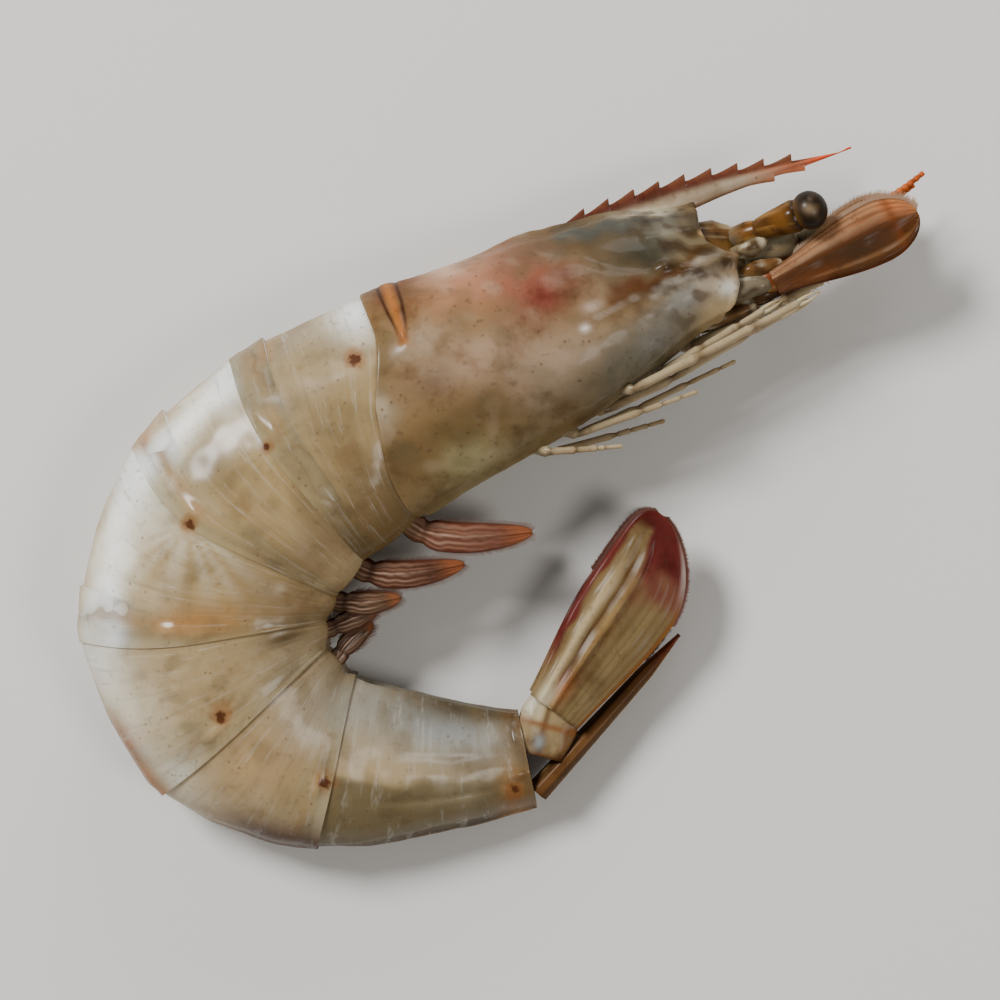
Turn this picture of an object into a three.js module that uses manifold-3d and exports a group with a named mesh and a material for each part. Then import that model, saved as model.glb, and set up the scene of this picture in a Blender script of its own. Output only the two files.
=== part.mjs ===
// A raw, head-on white shrimp lying on its left side, curled as a fresh one lies on the counter.
// Millimetres. +Z is up, away from the surface that the shrimp lies on, and is the animal's right.
// In the head's own frame +X points at the snout and +Y out of the back. The whole is set down with
// the middle of its footprint at the origin.
import * as THREE from "three";
import { LoftGeometry } from "three/addons/geometries/LoftGeometry.js";
import { mergeVertices } from "three/addons/utils/BufferGeometryUtils.js";
import Module from "manifold-3d";

const { clamp, degToRad, lerp, smoothstep } = THREE.MathUtils;

// ---- Driving dimensions -------------------------------------------------------------------

const HEAD_AIM = 22.2; // degrees from +X to the snout

// The six rings of the abdomen, from the neck to the tail: the length and the turn of each
// one's middle line.
const RINGS = [
  { length: 10.9, turn: 12.3 },
  { length: 8.0, turn: 18.3 },
  { length: 10.3, turn: 39.5 },
  { length: 8.7, turn: 36.4 },
  { length: 8.8, turn: 38.4 },
  { length: 18.2, turn: 24.4 },
];

// The body at the seven joints: how far the back and the belly lie from the middle line, the
// width, and how far the shell's edge sweeps back down the flank. The sweep sets in and is whole at
// these shares of the way round from the back to the belly.
const JOINTS = [
  { back: 10.45, belly: 10.2, width: 16.6, sweep: 4.4, from: 0.28, whole: 0.68 },
  { back: 11.2, belly: 10.8, width: 16.8, sweep: 1.6, from: 0.08, whole: 0.5 },
  { back: 12.0, belly: 11.1, width: 16.4, sweep: 2.4, from: 0.08, whole: 0.5 },
  { back: 12.3, belly: 10.6, width: 15.6, sweep: 0.9, from: 0.08, whole: 0.5 },
  { back: 11.2, belly: 9.4, width: 13.8, sweep: 0.4, from: 0.08, whole: 0.5 },
  { back: 8.6, belly: 8.0, width: 11.6, sweep: 0.3, from: 0.08, whole: 0.5 },
  { back: 4.4, belly: 4.3, width: 7.2, sweep: 0, from: 0.08, whole: 0.5 },
];

const SETTLE = 0.25; // how far the soft underside is pressed flat where it rests
const SHELL = 0.35; // thickness of a shell's free edge
const GAP = 0.25; // between pieces that lie on each other
const LIP = 0.8; // how far a shell's edge reaches over the next ring
const COLLAR = 2.0; // how far a ring reaches under the shell ahead of it
const LAST_LIP = 0.2; // of the sixth ring's edge, over the tail
const LAST_DEPTH = 0.9; // of the hollow that takes the tail
const FLARE = 0.1; // how far a free edge stands out
const FLATTEN = 0.45; // how much straighter than an arc each ring's back is
const BELLY_GROOVE = 0.22; // depth of the belly's hollow, as a share of the half depth

const AROUND = 28; // points round the body

// Along the head from the neck: the back, the belly and the half width of the head shell.
const HEAD_KEYS = [
  { x: 0, back: 10.45, belly: 10.2, half: 8.3 },
  { x: 5, back: 10.1, belly: 9.4, half: 8.5 },
  { x: 10, back: 9.7, belly: 8.6, half: 8.4 },
  { x: 15, back: 9.3, belly: 7.5, half: 7.9 },
  { x: 20, back: 8.8, belly: 6.1, half: 7.0 },
  { x: 25, back: 7.8, belly: 4.7, half: 5.8 },
  { x: 29, back: 6.6, belly: 3.8, half: 4.6 },
  { x: 33, back: 5.3, belly: 3.2, half: 3.3 },
];
const HEAD_STEPS = 20;

// Along the rostrum: its toothed upper edge and its lower edge.
const ROSTRUM_KEYS = [
  { x: 13, top: 9.1, bottom: 7.4 },
  { x: 17, top: 9.6, bottom: 7.2 },
  { x: 21, top: 9.8, bottom: 6.8 },
  { x: 25, top: 9.7, bottom: 6.4 },
  { x: 29, top: 9.35, bottom: 6.2 },
  { x: 33, top: 8.7, bottom: 6.3 },
  { x: 37, top: 7.85, bottom: 6.2 },
  { x: 41, top: 6.95, bottom: 6.0 },
  { x: 45.3, top: 6.1, bottom: 5.9 },
];
const ROSTRUM_THICKNESS = 1.2;
const BACK_TEETH = { count: 9, first: 20.3, last: 39.6, height: 0.6 };
const UNDER_TEETH = { count: 2, first: 37.6, last: 40.6, height: 0.4 };

const EYE_DIAMETER = 4.1;
const EYE = { x: 39.0, y: 1.9, side: 4.6 };
const EYE_STALK_ROOT = { x: 33.6, y: 2.2, side: 1.9 };
const EYE_STALK_DIAMETER = 2.1;

const SCALE_ANGLE = { right: 4, left: 8 }; // degrees up from the head's axis
const SCALE = { length: 14.4, width: 5.6, thickness: 0.6 };
const LEG_THICKNESS = 1.1;
const LEG_TIP = 0.45;
const SWIMMERET = { thickness: 1.2, side: 2.1, stalk: 2.6, gap: 0.4 };

const FAN_BEND = 45.3; // degrees that the tail fan folds in from the sixth ring
const FAN_RISE = 3.8; // height of the fan's middle above the surface
const TELSON = { length: 19.6, width: 4.2, thickness: 1.9 };
const EXOPOD = { length: 20.4, width: 8.7, thickness: 0.6, skew: 2.4 };
const ENDOPOD = { length: 17.6, width: 5.8, thickness: 0.5 };

// ---- Materials ----------------------------------------------------------------------------

const wet = (color, roughness = 0.3) =>
  new THREE.MeshStandardMaterial({ color, roughness, metalness: 0 });

const MATERIALS = {
  ring: wet("#8f8d7c"),
  head: wet("#8a7869"),
  eye: wet("#1c120c", 0.1),
  antenna: wet("#7d5638"),
  leg: wet("#a39a86"),
  swimmeret: wet("#855846"),
  tail: wet("#7c6146"),
};

// ---- The body's middle line and cross-section ---------------------------------------------

// The point and the turn of the middle line at a distance tailward of the neck.
function spine(distance) {
  let x = Math.max(-distance, 0);
  let y = 0;
  let turn = 0;
  let left = Math.max(distance, 0);
  for (const ring of RINGS) {
    const step = Math.min(left, ring.length);
    const bend = degToRad(ring.turn) / ring.length;
    const end = turn + bend * step;
    x -= (Math.sin(end) - Math.sin(turn)) / bend;
    y -= (Math.cos(turn) - Math.cos(end)) / bend;
    turn = end;
    left -= step;
  }
  return { x: x - Math.cos(turn) * left, y: y - Math.sin(turn) * left, turn };
}

const jointAt = RINGS.reduce((at, ring) => [...at, at.at(-1) + ring.length], [0]);
const bodyLength = jointAt.at(-1);

// A size of the joints, read part way along the body.
function bodySize(key, distance) {
  const at = clamp(distance, 0, bodyLength);
  const ring = Math.max(jointAt.findLastIndex((start) => start < at), 0);
  const share = (at - jointAt[ring]) / RINGS[ring].length;
  return lerp(JOINTS[ring][key], JOINTS[ring + 1][key], share);
}

// A smooth curve through keys of { x, ... }: gives every other size of the keys at any x.
function along(keys) {
  const names = Object.keys(keys[0]).filter((name) => name !== "x");
  const curve = new THREE.CubicInterpolant(
    keys.map((key) => key.x),
    keys.flatMap((key) => names.map((name) => key[name])),
    names.length,
  );
  return (x) => {
    const sizes = curve.evaluate(x);
    return Object.fromEntries(names.map((name, i) => [name, sizes[i]]));
  };
}

const headAt = along(HEAD_KEYS);
const rostrumAt = along(ROSTRUM_KEYS);

// The height of the middle line: the body lies along the surface, so the line sinks as it thins.
const bodyRise = (distance) => bodySize("width", distance) / 2 - SETTLE;
const HEAD_RISE = bodyRise(0);

// One point of the body's outline, at an angle from the back (0) over the flank to the belly (PI):
// a full back, upright flanks that draw in below, and a hollow between the two lower edges.
function outline(angle, { back, belly, half }) {
  const up = Math.cos(angle);
  const out = Math.sin(angle);
  if (up > 0) return { height: back * up ** 0.95, side: half * Math.sign(out) * Math.abs(out) ** 0.95 };
  const low = -up;
  const hollow = BELLY_GROOVE * low ** 3 * (1 - out ** 2) ** 3;
  return {
    height: (-belly * (low ** 0.85 - hollow)) / 0.83,
    side: half * Math.sign(out) * Math.abs(out) ** 0.8 * (1 - 0.24 * low ** 2),
  };
}

// How far the underside lies below the middle line, at a distance sideways from it.
function underside(sizes, side) {
  for (let angle = Math.PI; angle > Math.PI / 2; angle -= 0.02) {
    const point = outline(angle, sizes);
    if (point.side >= side) return -point.height;
  }
  return 0;
}

// How far a joint's edge has swept tailward at an angle: none on the back, most low on the flank.
function sweepAt({ sweep, from, whole }, angle) {
  const lean = Math.abs(angle > Math.PI ? 2 * Math.PI - angle : angle) / Math.PI;
  return sweep * smoothstep(lean, from, whole) * (1 - 0.4 * smoothstep(lean, 0.72, 1));
}

// A closed loop of points round the body, in the head's frame.
function bodyLoop(distance, sizes, sweep) {
  const rise = bodyRise(distance);
  return Array.from({ length: AROUND }, (_, i) => {
    const angle = (2 * Math.PI * i) / AROUND;
    const { x, y, turn } = spine(distance + sweep(angle));
    const { height, side } = outline(angle, sizes);
    return new THREE.Vector3(
      x - Math.sin(turn) * height,
      y + Math.cos(turn) * height,
      Math.max(rise + side, 0),
    );
  });
}

// A closed surface through the loops, drawn to a point in the middle of the first and the last.
function skin(loops) {
  const middle = (loop) => {
    const centre = loop.reduce((sum, p) => sum.add(p), new THREE.Vector3());
    centre.divideScalar(loop.length);
    return loop.map(() => centre);
  };
  return new LoftGeometry([middle(loops.at(-1)), ...loops.toReversed(), middle(loops[0])]);
}

// ---- Pieces made alike: leaf-shaped plates and jointed limbs -------------------------------

const LEAF_STEPS = 9;
const LEAF_AROUND = 10;

// A plate in the x-y plane, from its root at the origin to its tip at x = length. It widens from
// the root, is rounded (point 2) or pointed (point 1) at the tip, which is skewed to one side, and
// is bowed and cupped.
function leaf({ length, width, root, thickness, widest = 0.6, point = 2, skew = 0, cup = 0, bow = 0 }) {
  const loops = [];
  for (let step = 0; step <= LEAF_STEPS; step++) {
    const share = 0.995 * Math.sin((Math.PI / 2) * (step / LEAF_STEPS));
    const grow = smoothstep(share, -0.2, widest);
    const close = (1 - clamp((share - widest) / (1 - widest), 0, 1) ** point) ** (1 / point);
    const halfWidth = (lerp(root, width, grow) / 2) * close;
    const halfThick = (thickness / 2) * (1 - 0.5 * share);
    const aside = skew * clamp((share - 0.6) / 0.4, 0, 1) ** 2;
    loops.push(
      Array.from({ length: LEAF_AROUND }, (_, i) => {
        const angle = (-2 * Math.PI * i) / LEAF_AROUND;
        const y = halfWidth * Math.cos(angle);
        const sag = cup * ((2 * y) / width) ** 2 + bow * share ** 2;
        return new THREE.Vector3(length * share, aside + y, halfThick * Math.sin(angle) - sag);
      }),
    );
  }
  return skin(loops);
}

const LIMB_AROUND = 6;

// A limb of straight members between the given points, tapering from thick to thin.
function limb(points, thick, thin) {
  const lengths = points.slice(1).map((point, i) => point.distanceTo(points[i]));
  const total = lengths.reduce((sum, length) => sum + length, 0);
  let run = 0;
  const loops = points.map((point, i) => {
    if (i) run += lengths[i - 1];
    const radius = lerp(thick, thin, run / total) / 2;
    const heading = points[Math.min(i + 1, points.length - 1)].clone();
    heading.sub(points[Math.max(i - 1, 0)]).normalize();
    const side = new THREE.Vector3(0, 0, 1);
    side.addScaledVector(heading, -side.dot(heading)).normalize();
    const up = new THREE.Vector3().crossVectors(side, heading);
    return Array.from({ length: LIMB_AROUND }, (_, k) => {
      const angle = (2 * Math.PI * k) / LIMB_AROUND;
      return point
        .clone()
        .addScaledVector(side, radius * Math.cos(angle))
        .addScaledVector(up, radius * Math.sin(angle));
    });
  });
  return skin(loops);
}

function named(name, geometry, material) {
  const mesh = new THREE.Mesh(geometry, material);
  mesh.name = name;
  return mesh;
}

const SIDES = [
  { side: "right", sign: 1 },
  { side: "left", sign: -1 },
];

// ---- Abdomen: six overlapping shell rings --------------------------------------------------

const RING_STEPS = 5;

// The body's sizes at a distance, drawn in by an inset.
function sizesAt(distance, inset, flatten = 0) {
  return {
    back: bodySize("back", distance) - inset - flatten,
    belly: bodySize("belly", distance) - inset,
    half: bodySize("width", distance) / 2 - inset,
  };
}

// The hollow at the rear of a shell, from its free edge in to the floor, that takes the collar of
// the ring behind.
function rearOfShell(distance, joint, lip, depth) {
  const sweep = (angle) => sweepAt(joint, angle);
  const edge = distance + lip;
  const floor = distance - depth;
  return [
    bodyLoop(edge, sizesAt(distance, -FLARE), sweep),
    bodyLoop(edge, sizesAt(distance, SHELL), sweep),
    bodyLoop((edge + floor) / 2, sizesAt(distance, SHELL), sweep),
    bodyLoop(floor, sizesAt(distance, SHELL), sweep),
  ];
}

// A ring runs from its collar, tucked under the shell ahead, to its own free edge.
function abdomenRing(index) {
  const start = jointAt[index];
  const end = jointAt[index + 1];
  const [front, rear] = [JOINTS[index], JOINTS[index + 1]];
  const tuck = SHELL + GAP;
  const loops = [-COLLAR, 0, LIP].map((step) =>
    bodyLoop(start + step, sizesAt(start + Math.max(step, 0), tuck), (angle) => sweepAt(front, angle)),
  );
  for (let step = 1; step <= RING_STEPS; step++) {
    const share = step / RING_STEPS;
    const at = lerp(start + LIP, end, share);
    const flatten = FLATTEN * Math.sin(Math.PI * share);
    const sizes = sizesAt(at, tuck * (1 - share) ** 4, flatten);
    const sweep = (angle) => lerp(sweepAt(front, angle), sweepAt(rear, angle), share);
    loops.push(bodyLoop(at, sizes, sweep));
  }
  const last = index + 1 === RINGS.length;
  return skin([...loops, ...rearOfShell(end, rear, last ? LAST_LIP : LIP, last ? LAST_DEPTH : COLLAR + GAP)]);
}

const abdomen = new THREE.Group();
RINGS.forEach((_, i) => {
  abdomen.add(named(`abdomen_ring_${i + 1}`, abdomenRing(i), MATERIALS.ring));
});

// ---- Head shell and rostrum ----------------------------------------------------------------

const wasm = await Module();
wasm.setup();

function toSolid(geometry) {
  const bare = new THREE.BufferGeometry();
  bare.setAttribute("position", geometry.getAttribute("position"));
  bare.setIndex(geometry.getIndex());
  const welded = mergeVertices(bare, 1e-4);
  return new wasm.Manifold(
    new wasm.Mesh({
      numProp: 3,
      vertProperties: welded.attributes.position.array,
      triVerts: new Uint32Array(welded.index.array),
    }),
  );
}

function fromSolid(solid) {
  const { numProp, vertProperties, triVerts } = solid.getMesh();
  const geometry = new THREE.BufferGeometry();
  const positions = new Float32Array((vertProperties.length / numProp) * 3);
  for (let i = 0; i < positions.length; i++) {
    positions[i] = vertProperties[Math.floor(i / 3) * numProp + (i % 3)];
  }
  geometry.setAttribute("position", new THREE.BufferAttribute(positions, 3));
  geometry.setIndex(new THREE.BufferAttribute(triVerts, 1));
  const flat = geometry.toNonIndexed();
  flat.computeVertexNormals();
  return flat;
}

function headShell() {
  const snout = HEAD_KEYS.at(-1).x;
  const loops = [];
  for (let step = 0; step <= HEAD_STEPS; step++) {
    const share = step / HEAD_STEPS;
    const x = lerp(snout, 0, share);
    const nose = step === 0 ? 0.6 : 1; // rounds off the front
    const { back, belly, half } = headAt(x);
    const sizes = { back: back * nose, belly: belly * nose, half: half * nose };
    const sweep = (angle) => sweepAt(JOINTS[0], angle) * smoothstep(share, 0.4, 1);
    loops.push(bodyLoop(-x, sizes, sweep));
  }
  return skin([...loops, ...rearOfShell(0, JOINTS[0], LIP, COLLAR + GAP)]);
}

// Where an edge's teeth stand: each rises slowly and drops at once, so its point leans forward.
function teeth({ count, first, last, height }) {
  const pitch = (last - first) / (count - 1);
  return Array.from({ length: count }, (_, i) => first + pitch * i).map((tip) => ({
    back: tip - pitch * 0.8,
    tip,
    notch: tip + 0.12,
    height,
  }));
}

function rostrum() {
  const upper = teeth(BACK_TEETH);
  const lower = teeth(UNDER_TEETH);
  const from = ROSTRUM_KEYS[0].x;
  const to = ROSTRUM_KEYS.at(-1).x;
  const stations = new Set([from, to]);
  [...upper, ...lower].forEach(({ back, tip, notch }) => [back, tip, notch].forEach((x) => stations.add(x)));
  const bump = (list, x) => {
    const tooth = list.find(({ back, notch }) => x > back && x < notch);
    return tooth ? tooth.height * ((x - tooth.back) / (tooth.tip - tooth.back)) : 0;
  };
  const loops = [...stations]
    .sort((a, b) => b - a)
    .map((x) => {
      const { top, bottom } = rostrumAt(x);
      const high = top - (x < to ? BACK_TEETH.height / 2 : 0) + bump(upper, x);
      const low = bottom - bump(lower, x);
      const thin = (ROSTRUM_THICKNESS / 2) * (1 - 0.75 * ((x - from) / (to - from)));
      const middle = lerp(low, top, 0.4);
      return [
        [high, 0.25],
        [middle, 1],
        [low, 0.4],
        [low, -0.4],
        [middle, -1],
        [high, -0.25],
      ].map(([y, z]) => new THREE.Vector3(x, y, HEAD_RISE + thin * z));
    });
  return skin(loops);
}

const head = new THREE.Group();
const shell = toSolid(headShell()).add(toSolid(rostrum()));
head.add(named("head_shell", fromSolid(shell), MATERIALS.head));

// ---- Eyes, antennae and their scales -------------------------------------------------------

// A stalk with the ball of the eye at its end, turned about the line from root to eye.
function eyeProfile(reach) {
  const stalk = EYE_STALK_DIAMETER / 2;
  const ball = EYE_DIAMETER / 2;
  const profile = [[0, 0], [stalk * 0.8, 0], [stalk, reach * 0.35], [stalk, reach * 0.55]];
  const meet = Math.asin((stalk * 1.15) / ball);
  for (let i = 0; i <= 8; i++) {
    const angle = lerp(meet, Math.PI, i / 8);
    profile.push([ball * Math.sin(angle), reach - ball * Math.cos(angle)]);
  }
  profile.at(-1)[0] = 0;
  return profile.map(([x, y]) => new THREE.Vector2(x, y));
}

for (const { side, sign } of SIDES) {
  const root = new THREE.Vector3(EYE_STALK_ROOT.x, EYE_STALK_ROOT.y, HEAD_RISE + sign * EYE_STALK_ROOT.side);
  const centre = new THREE.Vector3(EYE.x, EYE.y, HEAD_RISE + sign * EYE.side);
  const reach = centre.clone().sub(root);
  const eye = named(`eye_${side}`, new THREE.LatheGeometry(eyeProfile(reach.length()), 14), MATERIALS.eye);
  eye.position.copy(root);
  eye.quaternion.setFromUnitVectors(new THREE.Vector3(0, 1, 0), reach.normalize());
  head.add(eye);

  const at = (x, y, z) => new THREE.Vector3(x, y, HEAD_RISE + sign * z);
  head.add(
    named(
      `antennule_${side}`,
      limb([at(33.6, 0.3, 0.95), at(37.5, -0.1, 1.1), at(41.5, -0.1, 1.3), at(44.6, 0.1, 1.4), at(50.2, 1.3, 1.9)], 1.8, 0.5),
      MATERIALS.antenna,
    ),
    named(
      `antenna_${side}`,
      limb([at(33.6, -2.3, 1.4), at(36.6, -2.7, 1.6), at(40.2, -2.9, 1.7), at(43.6, -2.7, 1.7)], 1.9, 1.0),
      MATERIALS.antenna,
    ),
  );
  const scale = named(
    `antennal_scale_${side}`,
    leaf({ ...SCALE, root: 1.8, widest: 0.72, cup: sign * 0.3 }),
    MATERIALS.antenna,
  );
  scale.position.copy(at(33.8, -2.9, 3.1));
  scale.rotation.z = degToRad(SCALE_ANGLE[side]);
  head.add(scale);
}

// ---- Jaw feet and walking legs, folded forward under the head ------------------------------

// Each leg: where it leaves the body, the lane that it lies in sideways, where it dives under the
// leg ahead of it in that lane, if there is one, and where its tip is on each side.
const LEGS = [
  { name: "jaw_foot", root: 22.9, lane: 1.1, right: [38.6, -4.2], left: [37.4, -4.4] },
  { name: "leg_1", root: 19.2, lane: 2.6, right: [34.0, -4.5], left: [35.5, -4.4] },
  { name: "leg_2", root: 16.5, lane: 4.1, right: [37.2, -5.2], left: [33.5, -4.7] },
  { name: "leg_3", root: 13.5, lane: 1.1, dive: 22.3, right: [35.6, -5.5], left: [37.0, -5.4] },
  { name: "leg_4", root: 10.5, lane: 2.6, dive: 18.6, right: [23.8, -9.3], left: [28.5, -8.0] },
  { name: "leg_5", root: 7.5, lane: 4.1, dive: 15.9, right: [15.6, -11.3], left: [20.5, -10.6] },
];

for (const { name, root, lane, dive = Infinity, ...tips } of LEGS) {
  for (const { side, sign } of SIDES) {
    const [tipX, tipY] = tips[side];
    const snout = HEAD_KEYS.at(-1).x;
    const under = (x) => {
      const layer = smoothstep(x, dive - 7, dive);
      const drop = GAP + LEG_THICKNESS / 2 + layer * (LEG_THICKNESS + GAP);
      return -underside(headAt(Math.min(x, snout)), lane) - drop;
    };
    const point = (x, y, z) => new THREE.Vector3(x, y, HEAD_RISE + sign * z);
    const start = root + 2;
    const rootSide = Math.min(lane + 0.2, 2.3);
    const points = [
      point(root, -underside(headAt(root), rootSide) - GAP - 0.2, rootSide),
      point(start, under(start) - 0.2, lane),
    ];
    const steps = dive < tipX ? [(dive - start) / (tipX - start), 0.7] : [0.35, 0.65];
    for (const share of steps) {
      const x = lerp(start, tipX, share);
      const level = lerp(under(start), tipY, share);
      points.push(point(x, Math.min(under(x), level), lane));
    }
    points.push(point(tipX, tipY, lane));
    head.add(named(`${name}_${side}`, limb(points, LEG_THICKNESS, LEG_TIP), MATERIALS.leg));
  }
}

// ---- Swimmerets, one pair under each of the first five rings -------------------------------

// Each swimmeret: the ring that it hangs from, how far along that ring, where it points, in
// degrees from +X, its reach and its width.
const SWIMMERETS = [
  { ring: 0, share: 0.55, aim: -2, length: 11.0, width: 2.8 },
  { ring: 1, share: 0.5, aim: 3, length: 9.6, width: 2.5 },
  { ring: 2, share: 0.55, aim: 4, length: 6.0, width: 2.1 },
  { ring: 3, share: 0.6, aim: 22, length: 4.8, width: 1.9 },
  { ring: 4, share: 0.6, aim: 44, length: 4.4, width: 1.9 },
];
const SWIMMERET_STEPS = 8;

// A paddle on a short stalk: it leaves the belly squarely and bends over to where it points.
function paddle(length, width, bend) {
  const curve = new THREE.QuadraticBezierCurve(
    new THREE.Vector2(0, 0),
    new THREE.Vector2(SWIMMERET.stalk, 0),
    new THREE.Vector2(length * Math.cos(bend), length * Math.sin(bend)),
  );
  const loops = [];
  for (let step = 0; step <= SWIMMERET_STEPS; step++) {
    const share = 0.99 * (step / SWIMMERET_STEPS);
    const { x, y } = curve.getPoint(share);
    const heading = curve.getTangent(share);
    const close = Math.sqrt(1 - clamp((share - 0.55) / 0.45, 0, 1) ** 1.6);
    const halfWidth = (width / 2) * lerp(0.75, 1, smoothstep(share, 0, 0.5)) * close;
    const halfThick = (SWIMMERET.thickness / 2) * (1 - 0.5 * share);
    loops.push(
      Array.from({ length: LEAF_AROUND }, (_, i) => {
        const angle = (-2 * Math.PI * i) / LEAF_AROUND;
        const across = halfWidth * Math.cos(angle);
        return new THREE.Vector3(x - heading.y * across, y + heading.x * across, halfThick * Math.sin(angle));
      }),
    );
  }
  return skin(loops);
}

SWIMMERETS.forEach(({ ring, share, aim, length, width }, i) => {
  for (const { side, sign } of SIDES) {
    const distance = lerp(jointAt[ring], jointAt[ring + 1], share);
    const { x, y, turn } = spine(distance);
    const drop = underside(sizesAt(distance, 0), SWIMMERET.side) + SWIMMERET.gap;
    const down = turn - Math.PI / 2;
    const bend = degToRad(aim - HEAD_AIM) - down;
    const swimmeret = named(`swimmeret_${i + 1}_${side}`, paddle(length, width, bend), MATERIALS.swimmeret);
    const rise = bodyRise(distance) + sign * SWIMMERET.side;
    swimmeret.position.set(x + Math.cos(down) * drop, y + Math.sin(down) * drop, rise);
    swimmeret.rotation.z = down;
    abdomen.add(swimmeret);
  }
});

// ---- Tail fan ------------------------------------------------------------------------------

// In the fan's own frame +X points at its tip and -Y out of the back.
const fan = new THREE.Group();
const tailEnd = spine(bodyLength + LAST_LIP);
fan.position.set(tailEnd.x, tailEnd.y, FAN_RISE);
fan.rotation.z = tailEnd.turn + Math.PI + degToRad(FAN_BEND);

const telson = named(
  "telson",
  leaf({ ...TELSON, root: 4.0, widest: 0.15, point: 1.15 }),
  MATERIALS.tail,
);
telson.position.set(-2.2, -2.6, 0);
telson.rotation.set(Math.PI / 2, 0, degToRad(-9), "ZXY");
fan.add(telson);

for (const { side, sign } of SIDES) {
  const plates = [
    {
      name: "tail_base",
      plate: { length: 6.2, width: 5.4, root: 3.6, thickness: 1.5, widest: 0.5 },
      place: [0.8, -0.9, 1.95],
      angle: 18,
    },
    {
      name: "exopod",
      plate: { ...EXOPOD, root: 4.8, widest: 0.6, cup: sign * 0.4, bow: -sign * 0.2 },
      place: [5.0, 0.3, 3.3],
      angle: -2,
    },
    {
      name: "endopod",
      plate: { ...ENDOPOD, root: 2.6, widest: 0.55, cup: sign * 0.3 },
      place: [4.8, -0.4, 1.1],
      angle: -6,
    },
  ];
  for (const { name, plate, place, angle } of plates) {
    const mesh = named(`${name}_${side}`, leaf(plate), MATERIALS.tail);
    mesh.position.set(place[0], place[1], sign * place[2]);
    mesh.rotation.z = degToRad(angle);
    fan.add(mesh);
  }
}

// ---- Assembly ------------------------------------------------------------------------------

const posed = new THREE.Group();
posed.rotation.z = degToRad(HEAD_AIM);
posed.add(head, abdomen, fan);

const shrimp = new THREE.Group();
shrimp.add(posed);

// Set down on z = 0 with the middle of the footprint at the origin.
const box = new THREE.Box3().setFromObject(shrimp, true);
const centre = box.getCenter(new THREE.Vector3());
posed.position.set(-centre.x, -centre.y, -box.min.z);

export default shrimp;
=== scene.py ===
"""A raw, head-on white shrimp, curled and lying on its left side, seen from straight above."""
import math

import bpy
import numpy as np
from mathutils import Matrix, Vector


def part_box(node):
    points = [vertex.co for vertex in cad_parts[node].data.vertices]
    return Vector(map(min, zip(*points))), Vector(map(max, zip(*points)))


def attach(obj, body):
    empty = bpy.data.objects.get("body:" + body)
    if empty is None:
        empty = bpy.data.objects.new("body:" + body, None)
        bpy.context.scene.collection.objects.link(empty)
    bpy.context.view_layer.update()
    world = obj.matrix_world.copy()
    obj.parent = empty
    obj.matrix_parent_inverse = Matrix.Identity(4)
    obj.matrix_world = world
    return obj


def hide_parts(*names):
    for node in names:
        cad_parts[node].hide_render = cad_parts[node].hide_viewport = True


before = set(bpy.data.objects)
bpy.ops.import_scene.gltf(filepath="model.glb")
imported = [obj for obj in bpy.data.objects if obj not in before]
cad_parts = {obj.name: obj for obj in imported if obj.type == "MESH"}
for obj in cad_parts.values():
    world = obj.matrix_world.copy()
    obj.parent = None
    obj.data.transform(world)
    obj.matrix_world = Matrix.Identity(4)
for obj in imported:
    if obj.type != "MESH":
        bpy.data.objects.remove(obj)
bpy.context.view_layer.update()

# ---- Abdomen ---------------------------------------------------------------------------------
# Six rings of thin wet shell, filled with pale flesh. Each ring's front is tucked under the shell
# ahead, and its free rear edge, a thin rounded rim, lies over the next ring and slides on it.

MM = 0.001

# The middle line bends tailward of the neck, ring by ring: each ring's length and turn.
HEAD_AIM = math.radians(22.2)
RING_LENGTH = np.array([10.9, 8.0, 10.3, 8.7, 8.8, 18.2])
RING_TURN = np.radians([12.3, 18.3, 39.5, 36.4, 38.4, 24.4])

# At the seven joints: back and belly from the middle line, width, and how far the shell's edge
# sweeps tailward down the flank, setting in and whole at these shares of the way to the belly.
JOINT_BACK = np.array([10.45, 11.2, 12.0, 12.3, 11.2, 8.6, 4.4])
JOINT_BELLY = np.array([10.2, 10.8, 11.1, 10.6, 9.4, 8.0, 4.3])
JOINT_WIDTH = np.array([16.6, 16.8, 16.4, 15.6, 13.8, 11.6, 7.2])
JOINT_SWEEP = np.array([4.4, 1.6, 2.4, 0.9, 0.4, 0.3, 0.0])
SWEEP_FROM = np.array([0.28, 0.08, 0.08, 0.08, 0.08, 0.08, 0.08])
SWEEP_WHOLE = np.array([0.68, 0.5, 0.5, 0.5, 0.5, 0.5, 0.5])

SETTLE = 0.25  # how far the underside is pressed flat
EDGE = 0.06  # thickness of a ring's free edge
# How much lower each ring lies where the shell ahead covers it: the head shell's is thick.
TUCK = np.array([0.38, 0.09, 0.09, 0.09, 0.09, 0.09])
LIP = 0.8  # how far a ring's rear edge reaches over the next
COLLAR = 2.0  # how far its front reaches under the shell ahead
FLATTEN = 0.45  # how far its back dips between two joints
LAST_LIP, LAST_DEPTH = 0.2, 0.9  # the last ring's rear edge, and the hollow inside it
BELLY_GROOVE = 0.22  # depth of the belly's hollow, as a share
BELLY_DEPTH = 0.83  # how deep the hollow leaves the belly, as a share
BACK_POWER, FLANK_POWER, BELLY_POWER = 0.95, 0.8, 0.85  # the section's fullness: lower is fuller
LOWER_NARROWING = 0.24
SWEEP_EASE = 0.4  # how much less the edge sweeps under the belly
RING_LOOPS = (0.78, 30, 18)  # where loops start to lie closer, and how many before and after


def full_turn(count):
    """Evenly spaced angles once round."""
    return np.linspace(0, 2 * math.pi, count, endpoint=False)


ring_around = full_turn(168)
rim_turns = np.linspace(0, math.pi, 6)[1:]
lip_steps = np.linspace(0, 1, 6)[1:]

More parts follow.
